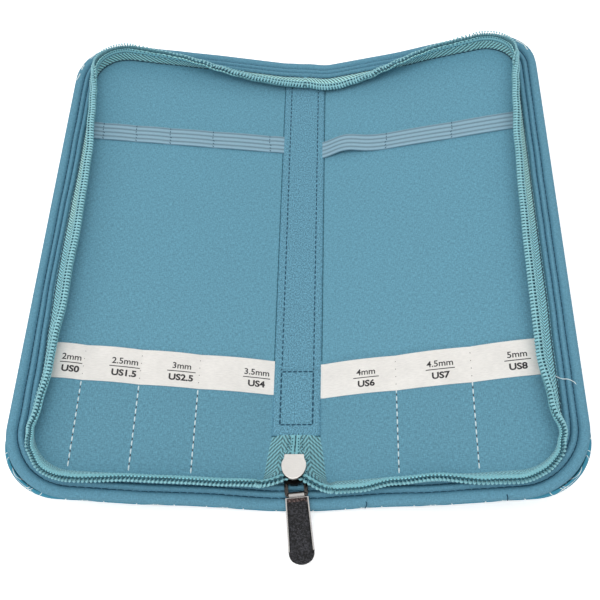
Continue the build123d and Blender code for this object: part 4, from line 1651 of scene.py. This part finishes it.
class NEEDLECASE_OT_pull(bpy.types.Operator):
    """Makes the slider's plate, the ring and the leather pull, and finishes the metal under them"""

    bl_idname = "needlecase.pull"
    bl_label = "Slider and pull"

    def execute(self, context):
        for node, finish in CAST_METAL.items():
            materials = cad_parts[node].data.materials
            materials.clear()
            materials.append(finish_of(finish))

        plate = cut_plate(PLATE_OUTLINE, 0.28, 1.72, 3.0, 0.3)
        ring = cut_plate(RING_OUTLINE, 1.2, -0.6, 0.6, 0.42, RING_BAR)
        for name, mesh, place, finish, slot, body, node in (
            ("slider_plate", plate, slider_frame(), "slider_plate", "slider_metal", "slider", None),
            ("ring_frame", ring, ring_place(), "ring_metal", "dark_metal",
             "pull_ring", "pull_ring"),
            ("leather_tab", leather_strap(), tab_place(), "black_leather", "black_leather",
             "pull_tab", "pull_leather"),
            ("leather_fold", leather_roll(), tab_place(), "brown_leather", "black_leather",
             "pull_tab", None),
        ):
            bmesh.ops.transform(mesh, matrix=place @ Matrix.Scale(MM, 4), verts=mesh.verts[:])
            face_outwards(mesh)
            piece = add_piece(name, mesh, finish, slot)
            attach(piece, body)
            if node:
                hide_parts(node)
        return {"FINISHED"}


# ---------------------------------------------------------------- stage
LAMPS = (  # name, place, size in metres and power in watts
    ("top lamp", (0.05, -0.2, 1.1), 1.1, 5.95),
    ("front lamp", (0.05, -1.2, 0.75), 0.9, 2.1),
    ("left lamp", (-0.9, -0.3, 0.8), 0.7, 2.5),
    ("back lamp", (0.3, 0.9, 0.7), 0.7, 1.8),
)
CAMERA_PLACE = (0.027983, -0.218296, 0.337429)
CAMERA_AXES = (  # its right, up and back
    (0.99729, 0.02281, -0.06996),
    (0.01568, 0.86306, 0.50486),
    (0.07189, -0.50458, 0.86036),
)


class NEEDLECASE_OT_stage(bpy.types.Operator):
    """Makes the floor, the lamps, the world and the camera"""

    bl_idname = "needlecase.stage"
    bl_label = "Stage"

    def execute(self, context):
        context.scene.view_settings.view_transform = "Standard"
        self.world(context.scene)
        mesh = bmesh.new()
        bmesh.ops.create_grid(mesh, x_segments=8, y_segments=8, size=3)
        floor_piece = add_piece("floor", mesh, "floor")
        floor_piece.location.z = -0.4 * MM
        for name, place, size, power in LAMPS:
            data = bpy.data.lights.new(name, "AREA")
            data.size, data.energy = size, power
            lamp = bpy.data.objects.new(name, data)
            lamp.location = place
            lamp.rotation_euler = (-Vector(place)).to_track_quat("-Z", "Y").to_euler()
            context.scene.collection.objects.link(lamp)
        self.camera(context.scene)
        return {"FINISHED"}

    def world(self, scene):
        """Soft white light all round, which the camera and the metal see as plain white."""
        scene.world = bpy.data.worlds.new("studio")
        scene.world.use_nodes = True
        tree = Tree(scene.world.node_tree)
        light = tree.nodes["Background"]
        light.inputs["Color"].default_value = (1, 1, 1, 1)
        light.inputs["Strength"].default_value = 0.42
        white = tree.node("Background", {"Color": (1, 1, 1, 1), "Strength": 1})
        ray = tree.node("LightPath").outputs
        seen = tree.math("MAXIMUM", ray["Is Camera Ray"], ray["Is Glossy Ray"])
        shown = tree.node("MixShader", {0: seen, 1: light.outputs[0], 2: white.outputs[0]})
        tree.feed(tree.nodes["World Output"].inputs["Surface"], shown.outputs[0])

    def camera(self, scene):
        view = bpy.data.cameras.new("camera")
        view.sensor_width, view.lens = 36, 54.29
        view.clip_start, view.clip_end = 0.01, 20
        scene.camera = bpy.data.objects.new("camera", view)
        turn = Matrix(CAMERA_AXES).transposed().to_4x4()
        scene.camera.matrix_world = Matrix.Translation(CAMERA_PLACE) @ turn
        scene.collection.objects.link(scene.camera)


class NEEDLECASE_PT_panel(bpy.types.Panel):
    """Sizes, colours and buttons of the case"""

    bl_idname = "NEEDLECASE_PT_panel"
    bl_label = "Needle case"
    bl_space_type = "VIEW_3D"
    bl_region_type = "UI"
    bl_category = "Needle case"

    def draw(self, context):
        for operator in PIECE_OPERATORS:
            self.layout.operator(operator.bl_idname)
        for group in (context.scene.case_sizes, context.scene.case_colours):
            box = self.layout.box()
            for key in group.bl_rna.properties.keys():
                if key not in {"rna_type", "name"}:
                    box.prop(group, key)


PIECE_OPERATORS = (
    NEEDLECASE_OT_stage,
    NEEDLECASE_OT_covers,
    NEEDLECASE_OT_linings,
    NEEDLECASE_OT_bindings,
    NEEDLECASE_OT_zip,
    NEEDLECASE_OT_strip,
    NEEDLECASE_OT_elastics,
    NEEDLECASE_OT_labels,
    NEEDLECASE_OT_pull,
)
CLASSES = (CaseSizes, CaseColours) + PIECE_OPERATORS + (NEEDLECASE_PT_panel,)


def register():
    for cls in CLASSES:
        bpy.utils.register_class(cls)
    bpy.types.Scene.case_sizes = PointerProperty(type=CaseSizes)
    bpy.types.Scene.case_colours = PointerProperty(type=CaseColours)


def unregister():
    del bpy.types.Scene.case_colours
    del bpy.types.Scene.case_sizes
    for cls in reversed(CLASSES):
        bpy.utils.unregister_class(cls)


def main():
    register()
    bpy.ops.needlecase.stage()
    bpy.ops.needlecase.covers()
    bpy.ops.needlecase.linings()
    bpy.ops.needlecase.bindings()
    bpy.ops.needlecase.zip()
    bpy.ops.needlecase.strip()
    bpy.ops.needlecase.elastics()
    bpy.ops.needlecase.labels()
    bpy.ops.needlecase.pull()


if __name__ == "__main__":
    main()
